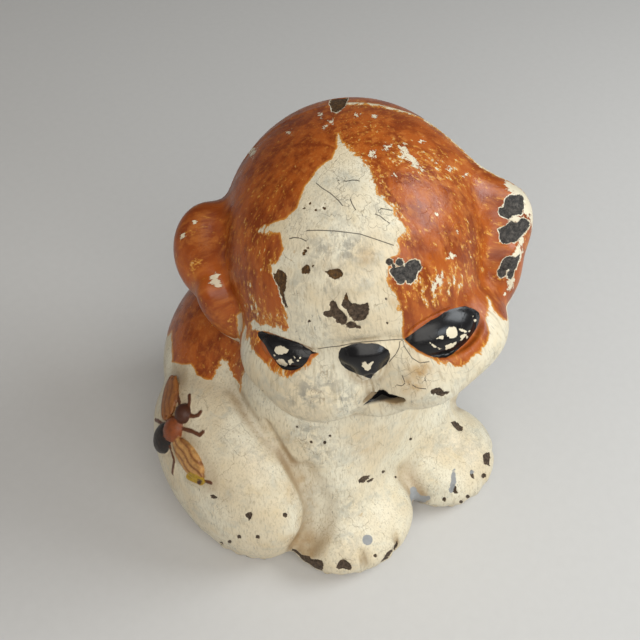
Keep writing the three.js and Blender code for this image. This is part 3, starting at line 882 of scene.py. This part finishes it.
def bee_field(points):
    """Distance to the bee, worked out only near it."""
    skin = np.full(len(points), BEE_REACH)
    near = lengths(points - BEE_AT) < BEE_REACH
    parts = [egg_field(points[near], *egg) for egg in BEE_EGGS.values()]
    skin[near] = np.minimum(np.minimum.reduce(parts), bee_leg_field(points[near]))
    return skin


def puppy_field(points):
    skin = blended(body_field(points), head_field(points), NECK_BLEND)
    return blended(skin, bee_field(points), BEE_BLEND)


# The mesh of a field

def sampled(field):
    """The field on a grid, worked out only in the blocks that the skin passes through."""
    blocks = np.ceil((GRID_HIGH - GRID_LOW) / (GRID_STEP * GRID_BLOCK)).astype(int)
    ticks = [GRID_LOW[i] + GRID_STEP * GRID_BLOCK * np.arange(blocks[i] + 1) for i in range(3)]
    nodes = np.stack(np.meshgrid(*ticks, indexing="ij"), axis=-1)
    rough = field(nodes.reshape(-1, 3)).reshape(nodes.shape[:3])
    close = np.abs(rough) < GRID_STEP * GRID_BLOCK * BLOCK_REACH
    grid = rough
    for axis in range(3):
        close = close.repeat(GRID_BLOCK, axis=axis)
        grid = grid.repeat(GRID_BLOCK, axis=axis)
    spots = np.argwhere(close)
    grid[close] = field(GRID_LOW + GRID_STEP * spots)
    return grid


def corner_offsets():
    return [np.array([i, j, k]) for i in (0, 1) for j in (0, 1) for k in (0, 1)]


def surface_nets(grid):
    """One point in each cell that the skin passes through, and a quad round each edge that it cuts."""
    inside = grid < 0
    size = np.array(inside.shape) - 1
    corners = corner_offsets()
    count = sum(inside[i:i + size[0], j:j + size[1], k:k + size[2]].astype(int) for i, j, k in corners)
    active = (count > 0) & (count < len(corners))
    cells = np.argwhere(active)
    number = np.full(active.shape, -1)
    number[active] = np.arange(len(cells))
    total = np.zeros((len(cells), 3))
    hits = np.zeros(len(cells))
    for corner in corners:
        for axis in range(3):
            if corner[axis]:
                continue
            across = np.eye(3, dtype=int)[axis]
            here = grid[tuple((cells + corner).T)]
            there = grid[tuple((cells + corner + across).T)]
            cut = (here < 0) != (there < 0)
            share = here[cut] / (here[cut] - there[cut])
            total[cut] += corner + share[:, None] * across
            hits[cut] += 1
    points = GRID_LOW + GRID_STEP * (cells + total / hits[:, None])
    quads = []
    for axis in range(3):
        first, second = np.eye(3, dtype=int)[(axis + 1) % 3], np.eye(3, dtype=int)[(axis + 2) % 3]
        before = np.take(inside, range(size[axis]), axis)
        after = np.take(inside, range(1, size[axis] + 1), axis)
        edges = np.argwhere(before != after)
        ring = [edges - first - second, edges - second, edges, edges - first]
        quad = np.column_stack([number[tuple(cell.T)] for cell in ring])
        flipped = ~before[tuple(edges.T)]
        quad[flipped] = quad[flipped][:, ::-1]
        quads.append(quad)
    return points, np.concatenate(quads)


def settled(points):
    """The points drawn onto the skin, a little at a time."""
    for _ in range(SETTLE_ROUNDS):
        rise = slope(puppy_field, points)
        steep = np.maximum((rise * rise).sum(axis=1), SLOPE_LEAST)
        move = -puppy_field(points)[:, None] * rise / steep[:, None]
        share = np.minimum(1, SETTLE_MOVE * GRID_STEP / np.maximum(lengths(move), TINY))
        points = points + move * share[:, None]
    return points


def small_features(points):
    """Distance to the nearest of the eyes, the nose, the mouth and the bee."""
    local = to_head(points)
    near = np.minimum(socket_field(local), joined_field(local, NOSE))
    near = np.minimum(near, joined_field(local, MOUTH))
    return np.minimum(near, bee_field(points))


def vector_array(items, key):
    flat = np.empty(3 * len(items))
    items.foreach_get(key, flat)
    return flat.reshape(-1, 3)


def vertex_array(mesh):
    return vector_array(mesh.vertices, "co")


def normal_array(mesh):
    return vector_array(mesh.vertex_normals, "vector")


def refine(shape, mesh, margin, paint_margin):
    """Twice finer near small features and near the edges of the paint that the view sees."""
    coats = paint_of(mesh)
    near = np.minimum.reduce([np.abs(coats[name]) for name in FINE_COATS])
    fine = (near < paint_margin) & (coats["seen"] > 0)
    fine |= small_features(vertex_array(mesh)) < margin
    shape.verts.ensure_lookup_table()
    edges = [edge for edge in shape.edges if all(fine[vert.index] for vert in edge.verts)]
    bmesh.ops.subdivide_edges(shape, edges=edges, cuts=1, use_grid_fill=True)
    shape.to_mesh(mesh)
    smooth = settled(vertex_array(mesh))
    shape.verts.ensure_lookup_table()
    for vert, place in zip(shape.verts, smooth):
        vert.co = place
    shape.to_mesh(mesh)


def close_underside(shape):
    """Cut at the floor, with a flat face over the cut."""
    everything = shape.verts[:] + shape.edges[:] + shape.faces[:]
    bmesh.ops.bisect_plane(shape, geom=everything, plane_co=(0, 0, 0), plane_no=(0, 0, 1), clear_inner=True)
    rim = [edge for edge in shape.edges if edge.is_boundary]
    for face in shape.faces:
        face.smooth = True
    cap = bmesh.ops.triangle_fill(shape, edges=rim, use_beauty=True)
    for face in cap["geom"]:
        if isinstance(face, bmesh.types.BMFace):
            face.smooth = False
    bmesh.ops.recalc_face_normals(shape, faces=shape.faces[:])


def puppy_mesh():
    points, quads = surface_nets(sampled(puppy_field))
    mesh = bpy.data.meshes.new("puppy")
    mesh.from_pydata(settled(points).tolist(), [], quads.tolist())
    shape = bmesh.new()
    shape.from_mesh(mesh)
    for margin, paint_margin in FINE_MARGINS:
        refine(shape, mesh, margin, paint_margin)
    close_underside(shape)
    shape.to_mesh(mesh)
    shape.free()
    return mesh


# The photograph's view

def camera_axes():
    azimuth, elevation = math.radians(VIEW_AZIMUTH), math.radians(VIEW_ELEVATION)
    back = np.array([
        math.sin(azimuth) * math.cos(elevation),
        -math.cos(azimuth) * math.cos(elevation),
        math.sin(elevation),
    ])
    right = np.array([math.cos(azimuth), math.sin(azimuth), 0.0])
    return right, np.cross(back, right), back


VIEW_RIGHT, VIEW_UP, VIEW_BACK = camera_axes()


def view_of(points):
    """Each point's pixel in the photograph, and how many millimetres a pixel is there."""
    offset = points - VIEW_TARGET
    size = (VIEW_DISTANCE - offset @ VIEW_BACK) / VIEW_FOCUS_PX
    pixels = np.column_stack([offset @ VIEW_RIGHT, -(offset @ VIEW_UP)]) / size[:, None]
    return pixels + PHOTO_SIZE / 2, size


def seen_share(points, outward, tree):
    """How squarely the view sees each point, from 0, for hidden, to 1."""
    ways = VIEW_TARGET + VIEW_DISTANCE * VIEW_BACK - points
    ways = ways / lengths(ways)[:, None]
    facing = (outward * ways).sum(axis=1)
    share = np.clip((facing - SEEN_GRAZING) / SEEN_FADE, 0, 1)
    for index in np.flatnonzero(share):
        start = Vector(points[index] + RAY_START * outward[index])
        if tree.ray_cast(start, Vector(ways[index]))[0] is not None:
            share[index] = 0
    return share


# Marks in the photograph's pixels

def from_segment(pixels, a, b):
    """Distance to a segment, with the side that each pixel is on, and whether it is beside it."""
    a, b = np.array(a, float), np.array(b, float)
    edge = b - a
    offset = pixels - a
    along = offset @ edge / (edge @ edge)
    away = lengths(offset - np.clip(along, 0, 1)[:, None] * edge)
    side = np.sign(edge[0] * offset[:, 1] - edge[1] * offset[:, 0])
    return away, side, (along >= 0) & (along <= 1)


def outline_depth(pixels, outline):
    """Distance to a closed outline, above zero inside it."""
    nearest = np.full(len(pixels), np.inf)
    inside = np.zeros(len(pixels), bool)
    for a, b in zip(outline, outline[1:] + outline[:1]):
        nearest = np.minimum(nearest, from_segment(pixels, a, b)[0])
        spans = (a[1] > pixels[:, 1]) != (b[1] > pixels[:, 1])
        rise = (b[1] - a[1]) or 1.0
        inside ^= spans & (pixels[:, 0] < a[0] + (pixels[:, 1] - a[1]) * (b[0] - a[0]) / rise)
    return np.where(inside, nearest, -nearest)


def spot_depth(pixels, spots):
    """Distance into a group of round marks, above zero inside one."""
    outside = np.full(len(pixels), np.inf)
    for x, y, radius in spots:
        away = lengths(pixels - np.array([x, y])) - radius
        outside = blended(np.minimum(outside, NO_SPOT), away, SPOT_BLEND)
    return -outside


def mark_depth(pixels, outlines, specks):
    """Distance into some outlines and round specks, above zero inside one."""
    return np.maximum.reduce([outline_depth(pixels, outline) for outline in outlines.values()]
                             + [spot_depth(pixels, specks)])


def line_offset(pixels, routes):
    """Signed distance to the nearest drawn line, or far away past its ends."""
    nearest = np.full(len(pixels), -FAR_AWAY)
    offset = np.full(len(pixels), -FAR_AWAY)
    for route in routes:
        for a, b in zip(route, route[1:]):
            away, side, beside = from_segment(pixels, a, b)
            closer = (away < nearest) & (beside | (away < LINE_END))
            nearest = np.where(closer, away, nearest)
            offset = np.where(closer, away * side, offset)
    return offset


def patch_share(pixels, patches):
    """The strongest of some soft round patches."""
    share = np.zeros(len(pixels))
    for x, y, radius, strength in patches:
        away = lengths(pixels - np.array([x, y])) / radius
        share = np.maximum(share, strength * np.exp(-away * away))
    return share


# Each coat of paint at each vertex: lengths in millimetres, above zero where the coat is

def seam_offset(local, on_head):
    """How far each point of the left side is from the worn parting line."""
    on_seam = on_head & (local[:, 0] > SEAM_FROM) & (local[:, 2] > 0)
    return np.where(on_seam, np.abs(parting_offset(local)), -FAR_AWAY)


def orange_depth(points, local, on_head, pixels, size, seen):
    shown = np.where(on_head, -outline_depth(pixels, CREAM_FACE), outline_depth(pixels, SADDLE)) * size
    edge = SADDLE_FROM - SADDLE_SLOPE * np.clip(points[:, 1], 0, SADDLE_REACH)
    saddle = np.minimum(points[:, 2] - edge, points[:, 1] - SADDLE_FRONT)
    unseen = np.where(on_head, local[:, 2] - HEAD_ORANGE_FROM, saddle)
    shown, unseen = (np.clip(depth, -ORANGE_MOST, ORANGE_MOST) for depth in (shown, unseen))
    depth = seen * shown + (1 - seen) * unseen
    return np.minimum(depth, seam_offset(local, on_head) - SEAM_BARE)


def black_depth(local, pixels, size, seen):
    """The eyes, the nose and the mouth: as drawn, or on their forms where the view doesn't see."""
    depth = np.maximum(NOSE_PAINT - joined_field(local, NOSE), MOUTH_PAINT - joined_field(local, MOUTH))
    for middle, axes, half_width, drop, arch in EYE_FRAMES:
        along, down, out = ((local - middle) @ axes).T
        height = np.where(down > 0, drop, arch)
        eye = (1 - np.hypot(along / half_width, down / height)) * height
        depth = np.maximum(depth, np.where(np.abs(out) < EYE_PAINT_REACH, eye, FAR_AWAY))
    drawn = np.maximum.reduce([outline_depth(pixels, outline) for outline in BLACKS.values()]) * size
    return np.where(seen > 0, drawn, depth)


def bee_paint(points, pixels, size, seen):
    """How deep each point is in the bee's paint, and its colour there."""
    nearest = np.full(len(points), BEE_REACH)
    tint = np.tile(BEE_LEG_TINT, (len(points), 1))
    near = lengths(points - BEE_AT) < BEE_REACH
    nearest[near] = bee_leg_field(points[near])
    for name, egg in BEE_EGGS.items():
        away = np.full(len(points), BEE_REACH)
        away[near] = egg_field(points[near], *egg)
        here = away < nearest
        tint[here] = BEE_TINTS[name]
        if name in BEE_WINGS:
            along, across, _ = ((points[here] - egg[0]) @ egg[2]).T
            wave = np.sin(BEE_VEIN_PITCH * across + np.sin(BEE_VEIN_WAVE * along))
            vein = (0.5 + 0.5 * wave) ** BEE_VEIN_SHARPNESS
            tint[here] += vein[:, None] * (np.array(BEE_VEIN) - tint[here])
        nearest = np.minimum(nearest, away)
    marked = BEE_YELLOW_RADIUS - from_segment(pixels, *BEE_YELLOW_ROUTE)[0]
    yellow = np.where(seen > 0, marked, FAR_AWAY) * size
    spot = lengths(pixels - np.array(BEE_SPOT_AT)) < BEE_SPOT_RADIUS
    tint[yellow > 0] = BEE_YELLOW
    tint[(yellow > 0) & spot] = BEE_TINTS["head"]
    return np.maximum(BEE_PAINT - nearest, yellow), tint


def stroke_way(local, points, on_head):
    """Coordinates that are stretched along the brush: out from the top of the blaze, or down."""
    top = unit(BLAZE_TOP)
    side = unit(np.cross(top, np.array([0.0, 1.0, 0.0])))
    ways = local / np.maximum(lengths(local), 1e-6)[:, None]
    round_top = np.column_stack([ways @ side, ways @ np.cross(top, side)])
    out = np.arccos(np.clip(ways @ top, -1, 1)) * STROKE_RADIUS
    spread = np.hypot(*round_top.T)
    turn = STROKE_RADIUS * round_top * (np.tanh(STROKE_SPREAD * spread) / np.maximum(spread, 1e-6))[:, None]
    head = np.column_stack([out * STROKE_SQUEEZE, turn])
    body = np.column_stack([points[:, 2] * STROKE_SQUEEZE, points[:, :2]])
    return np.where(on_head[:, None], head, body)


def hollow_share(points, outward):
    """How far each point is down in a hollow, where dirt and painted shade darken the cream."""
    share = np.zeros(len(points))
    for reach in HOLLOW_REACHES:
        share += np.clip(1 - puppy_field(points + reach * outward) / reach, 0, 1) / len(HOLLOW_REACHES)
    return share


def paint_of(mesh):
    """Every coat of paint, as one value for each vertex."""
    points, outward = vertex_array(mesh), normal_array(mesh)
    tree = BVHTree.FromPolygons(points.tolist(), [list(face.vertices) for face in mesh.polygons])
    local = to_head(points)
    on_head = head_field(points) < body_field(points)
    pixels, size = view_of(points)
    seen = seen_share(points, outward, tree)

    def shown(depth):
        return np.where(seen > 0, np.maximum(depth * size, FAR_AWAY), FAR_AWAY)

    chip = shown(mark_depth(pixels, CHIPS, CHIP_SPECKS))
    for x, y, z, radius in HIDDEN_CHIPS:
        chip = np.maximum(chip, radius - lengths(points - np.array([x, y, z])))
    chip = np.maximum(chip, FOOT_WEAR - points[:, 2])
    brown, grey = GREY_IRON_FROM
    grey_iron = np.clip((pixels[:, 0] - brown) / (grey - brown), 0, 1)
    grey_iron = np.where(pixels[:, 1] < GREY_IRON_ABOVE, grey_iron, GREY_IRON_BELOW)
    bee, bee_tint = bee_paint(points, pixels, size, seen)
    seam_worn = SEAM_WORN * np.exp(-(seam_offset(local, on_head) / SEAM_REACH) ** 2)
    return {
        "seen": seen,
        "orange": orange_depth(points, local, on_head, pixels, size, seen),
        "black": black_depth(local, pixels, size, seen),
        # painted shade inside the mouth
        "mouth_shade": shown(outline_depth(pixels, MOUTH_INSIDE)),
        "chip": chip,
        "grey_iron": grey_iron,
        "filler": shown(spot_depth(pixels, FILLER)),
        "flake": shown(mark_depth(pixels, FLAKES, FLAKE_SPECKS)),
        "crack": np.where(seen > 0, line_offset(pixels, CRACKS) * size, -FAR_AWAY),
        "worn": np.maximum(np.where(seen > 0, patch_share(pixels, WORN), HIDDEN_WEAR), seam_worn),
        # grime and painted shade
        "grime_and_shade": np.where(seen > 0, patch_share(pixels, GRIME_AND_SHADE), HIDDEN_GRIME),
        # stains, with painted shade along the haunch's crease
        "stain_and_shade": np.where(seen > 0, patch_share(pixels, STAINS_AND_SHADE), 0),
        # how deep in a hollow, for dirt and painted shade
        "hollow": hollow_share(points, outward),
        "bee": bee,
        "bee_tint": bee_tint,
        "stroke": stroke_way(local, points, on_head),
    }


def keep_paint(mesh, coats):
    for name, values in coats.items():
        kind = "FLOAT" if values.ndim == 1 else "FLOAT_VECTOR"
        layer = mesh.attributes.new(name, kind, "POINT")
        layer.data.foreach_set("value" if values.ndim == 1 else "vector", values.astype(np.float32).ravel())


def press_chips(mesh, chip):
    """The bare iron lies lower than the paint round it. The underside stays on the floor."""
    points = vertex_array(mesh)
    bevel = np.clip(0.5 + chip / CHIP_BEVEL, 0, 1)
    depth = CHIP_DEPTH * bevel * np.clip(points[:, 2] / FOOT_WEAR, 0, 1)
    pressed = points - depth[:, None] * normal_array(mesh)
    pressed[:, 2] = np.maximum(pressed[:, 2], 0)
    mesh.vertices.foreach_set("co", pressed.ravel())
    mesh.update()


# The painted iron

class Nodes:
    """Short names for the shader nodes of one material."""

    def __init__(self, name):
        self.material = bpy.data.materials.new(name)
        self.material.use_nodes = True
        self.tree = self.material.node_tree
        self.surface = self.tree.nodes["Principled BSDF"]

    def add(self, kind, values, **settings):
        node = self.tree.nodes.new("ShaderNode" + kind)
        for key, value in settings.items():
            setattr(node, key, value)
        for key, value in values.items():
            self.put(node.inputs[key], value)
        return node

    def put(self, socket, value):
        if isinstance(value, bpy.types.NodeSocket):
            self.tree.links.new(value, socket)
        else:
            socket.default_value = value

    def coat(self, name):
        return self.add("Attribute", {}, attribute_name=name).outputs["Fac"]

    def coat_vector(self, name):
        return self.add("Attribute", {}, attribute_name=name).outputs["Vector"]

    def place(self):
        """Where on the object, in millimetres."""
        place = self.add("TexCoord", {}).outputs["Object"]
        return self.add("VectorMath", {0: place, "Scale": 1 / MM}, operation="SCALE").outputs[0]

    def sum(self, *values):
        total = values[0]
        for value in values[1:]:
            total = self.add("Math", {0: total, 1: value}, operation="ADD").outputs[0]
        return total

    def times(self, a, b):
        return self.add("Math", {0: a, 1: b}, operation="MULTIPLY").outputs[0]

    def size(self, a):
        return self.add("Math", {0: a}, operation="ABSOLUTE").outputs[0]

    def most(self, a, b):
        return self.add("Math", {0: a, 1: b}, operation="MAXIMUM").outputs[0]

    def step(self, value, low, high, bottom=0.0, top=1.0):
        """A smooth step from one value to another."""
        values = {"Value": value, "From Min": low, "From Max": high, "To Min": bottom, "To Max": top}
        return self.add("MapRange", values, interpolation_type="SMOOTHSTEP").outputs[0]

    def noise(self, place, size, detail=2.0, roughness=0.5, bend=0.0):
        values = {"Vector": place, "Scale": 1 / size, "Detail": detail, "Roughness": roughness}
        values["Distortion"] = bend
        return self.add("TexNoise", values).outputs[0]

    def stirred(self, place, size, amount):
        """The place pushed about by noise, so that what is drawn on it wanders."""
        stir = self.add("TexNoise", {"Vector": place, "Scale": 1 / size, "Detail": 3.0}).outputs["Color"]
        stir = self.add("VectorMath", {0: stir, 1: (0.5, 0.5, 0.5)}, operation="SUBTRACT").outputs[0]
        stir = self.add("VectorMath", {0: stir, "Scale": amount}, operation="SCALE").outputs[0]
        return self.add("VectorMath", {0: place, 1: stir}, operation="ADD").outputs[0]

    def cracks(self, place, size):
        """Distance to the edge of the nearest cell of a net."""
        values = {"Vector": place, "Scale": 1 / size}
        return self.add("TexVoronoi", values, feature="DISTANCE_TO_EDGE").outputs["Distance"]

    def mix(self, share, first, second):
        def colour(value):
            return value if isinstance(value, bpy.types.NodeSocket) else (*value, 1)

        values = {0: share, 6: colour(first), 7: colour(second)}
        return self.add("Mix", values, data_type="RGBA").outputs[2]

    def blend(self, share, first, second):
        return self.add("Mix", {0: share, 2: first, 3: second}).outputs[0]


def painted_iron():
    nodes = Nodes("painted_iron")
    place = nodes.place()
    stroke = nodes.coat_vector("stroke")
    broad = nodes.noise(place, GRAINS["broad"], 2)
    middling = nodes.noise(place, GRAINS["middling"], 3, 0.55)
    fine = nodes.noise(place, GRAINS["fine"], 4, 0.6)
    ragged = nodes.sum(nodes.noise(place, GRAINS["ragged"], 4, 0.62), -0.5)
    streak = nodes.noise(stroke, GRAINS["streak"], 4, 0.6, 0.3)
    long_streak = nodes.noise(stroke, GRAINS["long_streak"], 3, 0.55, 0.2)
    worn, grime_and_shade, hollow = nodes.coat("worn"), nodes.coat("grime_and_shade"), nodes.coat("hollow")

    # Cream enamel: yellowed and greyed in patches, hatched by the brush, with a net of fine cracks, and
    # darkened by grime, stains and painted shade
    cream = nodes.mix(nodes.step(broad, 0.35, 0.65), CREAM_WARM, CREAM_PALE)
    cream = nodes.mix(nodes.step(middling, 0.5, 0.75, 0, 0.3), cream, CREAM_YELLOW)
    mottle = nodes.noise(place, GRAINS["mottle"], 5, 0.65, 0.6)
    cream = nodes.mix(nodes.step(mottle, 0.5, 0.7, 0, 0.6), cream, CREAM_GREY)
    scratch = nodes.add("VectorMath", {0: stroke, 1: SCRATCH_STRETCH}, operation="MULTIPLY").outputs[0]
    hatch = nodes.noise(scratch, GRAINS["hatch"], 4, 0.65, 0.5)
    cream = nodes.mix(nodes.step(hatch, 0.47, 0.7, 0, 0.8), cream, CREAM_HATCH)
    # Grime and painted shade: grey patches, darkest on the left side of the muzzle
    dirt_and_shade = nodes.times(grime_and_shade, nodes.step(nodes.noise(place, GRAINS["dirt_and_shade"], 6, 0.72, 0.5), 0.4, 0.62))
    cream = nodes.mix(nodes.times(dirt_and_shade, 0.8), cream, GREY_GRIME_AND_SHADE)
    # Stains, and painted shade along the haunch's crease
    stain_and_shade = nodes.times(nodes.coat("stain_and_shade"), nodes.step(middling, 0.3, 0.7))
    cream = nodes.mix(stain_and_shade, cream, BROWN_STAIN_AND_SHADE)
    blot = nodes.step(nodes.noise(place, GRAINS["blot"], 4, 0.6), 0.66, 0.78, 0, 0.5)
    cream = nodes.mix(blot, cream, BROWN_STAIN_AND_SHADE)
    specks = nodes.step(nodes.noise(place, GRAINS["speck"], 3, 0.7), 0.66, 0.74)
    specks = nodes.times(specks, nodes.step(middling, 0.4, 0.65))
    cream = nodes.mix(nodes.times(specks, 0.6), cream, GRIME_DARK)
    craze = nodes.cracks(nodes.stirred(place, GRAINS["craze_stir"], 4.0), GRAINS["craze"])
    crazed = nodes.step(nodes.noise(place, GRAINS["craze"], 3), 0.48, 0.58)
    net = nodes.times(nodes.step(craze, 0.004, 0.014, 1, 0), crazed)
    cream = nodes.mix(nodes.times(net, 0.4), cream, CRAZE_BROWN)
    dash = nodes.step(nodes.noise(scratch, GRAINS["dash"], 3, 0.6, 0.4), 0.63, 0.71)
    dash = nodes.times(dash, nodes.step(broad, 0.35, 0.6, 0.25, 0.8))
    cream = nodes.mix(dash, cream, GREY_GRIME_AND_SHADE)
    # Dirt and painted shade darken the cream in hollows
    cream = nodes.mix(nodes.step(hollow, 0.16, 0.62, 0, 0.85), cream, HOLLOW_DIRT_AND_SHADE)

    # Rust-orange enamel, brushed thin over the cream and worn through in flecks
    brushed = nodes.noise(stroke, GRAINS["brushed"], 6, 0.72)
    loose = nodes.times(nodes.sum(streak, -0.5), 6.0)
    loose = nodes.sum(loose, nodes.times(nodes.sum(brushed, -0.5), 5.0))
    edge = nodes.sum(nodes.coat("orange"), nodes.blend(worn, nodes.times(ragged, 0.9), loose))
    orange_here = nodes.step(edge, -0.12, 0.12)
    orange = nodes.mix(nodes.step(long_streak, 0.35, 0.62), ORANGE_DARK, ORANGE_MID)
    orange = nodes.mix(nodes.step(streak, 0.48, 0.72, 0, 0.6), orange, ORANGE_LIGHT)
    bare = nodes.sum(brushed, nodes.times(worn, 0.15))
    orange = nodes.mix(nodes.step(bare, 0.60, 0.70, 0, 0.85), orange, ORANGE_THIN)
    fleck = nodes.step(bare, 0.70, 0.73)
    rim = nodes.times(nodes.step(edge, 0.6, 0.1), 0.6)
    orange = nodes.mix(rim, orange, ORANGE_THIN)
    orange_here = nodes.times(orange_here, nodes.sum(1.0, nodes.times(fleck, -1.0)))
    paint = nodes.mix(orange_here, cream, orange)

    # The bee
    bee_here = nodes.step(nodes.sum(nodes.coat("bee"), nodes.times(ragged, 0.4)), -0.1, 0.15)
    bee = nodes.mix(nodes.step(fine, 0.4, 0.7, 0, 0.35), nodes.coat_vector("bee_tint"), BEE_SHADE)
    paint = nodes.mix(bee_here, paint, bee)

    # Painted shade inside the mouth; black eyes, nose and mouth, with flakes of cream
    mouth_shade_here = nodes.step(nodes.coat("mouth_shade"), -0.15, 0.9, 0, 0.95)
    paint = nodes.mix(mouth_shade_here, paint, MOUTH_SHADE)
    black_here = nodes.step(nodes.sum(nodes.coat("black"), nodes.times(ragged, 0.3)), -0.06, 0.06)
    paint = nodes.mix(black_here, paint, nodes.mix(fine, BLACK_PAINT, BLACK_WORN))
    on_orange = nodes.times(orange_here, nodes.sum(1.0, nodes.times(black_here, -1.0)))
    broken = nodes.times(on_orange, nodes.times(nodes.sum(brushed, -0.5), 6.0))
    crumbled = nodes.times(black_here, nodes.times(nodes.sum(fine, -0.5), 1.3))
    flake = nodes.sum(nodes.coat("flake"), nodes.times(ragged, 0.4), broken, crumbled)
    flake_here = nodes.step(flake, -0.05, 0.05)
    paint = nodes.mix(flake_here, paint, nodes.mix(middling, CREAM_WARM, CREAM_PALE))

    # Chips down to the iron, ringed with cream
    grit = nodes.sum(nodes.noise(place, GRAINS["grit"], 2), -0.5)
    chip = nodes.sum(nodes.coat("chip"), nodes.times(ragged, 0.7), nodes.times(grit, 0.6))
    ring = nodes.sum(chip, nodes.times(nodes.noise(place, GRAINS["ring"], 3), -0.7))
    paint = nodes.mix(nodes.step(ring, -0.62, -0.5), paint, cream)
    chip_here = nodes.step(chip, -0.06, 0.06)
    pitted = nodes.step(nodes.noise(place, GRAINS["pit"], 6, 0.75), 0.35, 0.7)
    rust = nodes.mix(pitted, IRON_BROWN, IRON_RUST)
    iron = nodes.mix(nodes.coat("grey_iron"), rust, nodes.mix(pitted, IRON_DARK, IRON_GREY))
    paint = nodes.mix(chip_here, paint, iron)
    filler_here = nodes.step(nodes.sum(nodes.coat("filler"), nodes.times(ragged, 0.7)), -0.1, 0.1)
    paint = nodes.mix(filler_here, paint, nodes.mix(fine, FILLER_DARK, FILLER_PALE))

    # Long cracks
    crack = nodes.sum(nodes.size(nodes.coat("crack")), nodes.times(ragged, 0.12))
    crack_here = nodes.step(crack, 0.06, 0.15, 1, 0)
    paint = nodes.mix(nodes.times(crack_here, 0.85), paint, GRIME_DARK)
    nodes.put(nodes.surface.inputs["Base Color"], paint)

    # Gloss
    gloss = nodes.step(middling, 0.3, 0.7, *CREAM_ROUGHNESS)
    gloss = nodes.blend(orange_here, gloss, nodes.step(streak, 0.3, 0.7, *ORANGE_ROUGHNESS))
    gloss = nodes.blend(black_here, gloss, nodes.step(middling, 0.3, 0.7, *BLACK_ROUGHNESS))
    dull = nodes.most(chip_here, filler_here)
    gloss = nodes.blend(dull, gloss, nodes.step(fine, 0.3, 0.7, *IRON_ROUGHNESS))
    nodes.put(nodes.surface.inputs["Roughness"], gloss)
    nodes.surface.inputs["Specular IOR Level"].default_value = SHINE

    # Relief: brush marks, the thickness of the paint, pits and cracks, in millimetres
    height = nodes.times(nodes.sum(middling, -0.5), RELIEF["middling"])
    height = nodes.sum(height, nodes.times(nodes.sum(streak, -0.5), RELIEF["streak"]))
    height = nodes.sum(height, nodes.times(fine, RELIEF["fine"]))
    height = nodes.times(height, nodes.step(black_here, 0.0, 1.0, 1.0, RELIEF_ON_BLACK))
    pits = nodes.times(chip_here, nodes.step(pitted, 0.0, 1.0, RELIEF["pit"], 0.0))
    height = nodes.sum(height, nodes.times(orange_here, RELIEF["orange"]))
    height = nodes.sum(height, nodes.times(net, RELIEF["craze"]), pits)
    height = nodes.sum(height, nodes.times(crack_here, RELIEF["crack"]))
    height = nodes.sum(height, nodes.times(flake_here, RELIEF["flake"]))
    bump = nodes.add("Bump", {"Height": height, "Distance": MM})
    nodes.put(nodes.surface.inputs["Normal"], bump.outputs[0])
    return nodes.material


def plain_floor():
    nodes = Nodes("floor")
    grain = nodes.noise(nodes.place(), GRAINS["floor"], 3)
    nodes.put(nodes.surface.inputs["Base Color"], nodes.mix(grain, FLOOR_PALE, FLOOR_DARK))
    nodes.surface.inputs["Roughness"].default_value = FLOOR_ROUGHNESS
    return nodes.material


def placed(name, data):
    """A new object in the scene."""
    thing = bpy.data.objects.new(name, data)
    bpy.context.collection.objects.link(thing)
    return thing


def soft_light(name, azimuth, elevation, distance, size, energy, colour):
    """An area light that faces the puppy."""
    light = placed(name, bpy.data.lights.new(name, "AREA"))
    light.data.energy = energy
    light.data.size = size
    light.data.color = colour
    turn, rise = math.radians(azimuth), math.radians(elevation)
    way = Vector((math.sin(turn) * math.cos(rise), -math.cos(turn) * math.cos(rise), math.sin(rise)))
    light.location = Vector(VIEW_TARGET * MM) + distance * way
    light.rotation_euler = way.to_track_quat("Z", "Y").to_euler()


mesh = puppy_mesh()
coats = paint_of(mesh)
keep_paint(mesh, coats)
press_chips(mesh, coats["chip"])
mesh.transform(Matrix.Scale(MM, 4))
mesh.materials.append(painted_iron())
puppy = placed("puppy", mesh)
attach(puppy, "root")
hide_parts("puppy_casting")

camera = placed("camera", bpy.data.cameras.new("camera"))
camera.data.sensor_width = SENSOR_WIDTH
camera.data.lens = VIEW_FOCUS_PX / PHOTO_SIZE * SENSOR_WIDTH
camera.data.clip_start = CLIP_START
camera.location = Vector((VIEW_TARGET + VIEW_DISTANCE * VIEW_BACK) * MM)
camera.rotation_euler = Matrix(np.column_stack([VIEW_RIGHT, VIEW_UP, VIEW_BACK]).tolist()).to_euler()
bpy.context.scene.camera = camera

floor_mesh = bpy.data.meshes.new("floor")
corners = [(x * FLOOR_HALF, y * FLOOR_HALF, 0) for x, y in ((-1, -1), (1, -1), (1, 1), (-1, 1))]
floor_mesh.from_pydata(corners, [], [(0, 1, 2, 3)])
floor_mesh.materials.append(plain_floor())
floor = placed("floor", floor_mesh)

for name, settings in LIGHTS.items():
    soft_light(name, **settings)
world = bpy.data.worlds.new("studio")
world.use_nodes = True
world.node_tree.nodes["Background"].inputs["Color"].default_value = WORLD_COLOUR
world.node_tree.nodes["Background"].inputs["Strength"].default_value = WORLD_STRENGTH
bpy.context.scene.world = world
bpy.context.scene.view_settings.view_transform = "Standard"
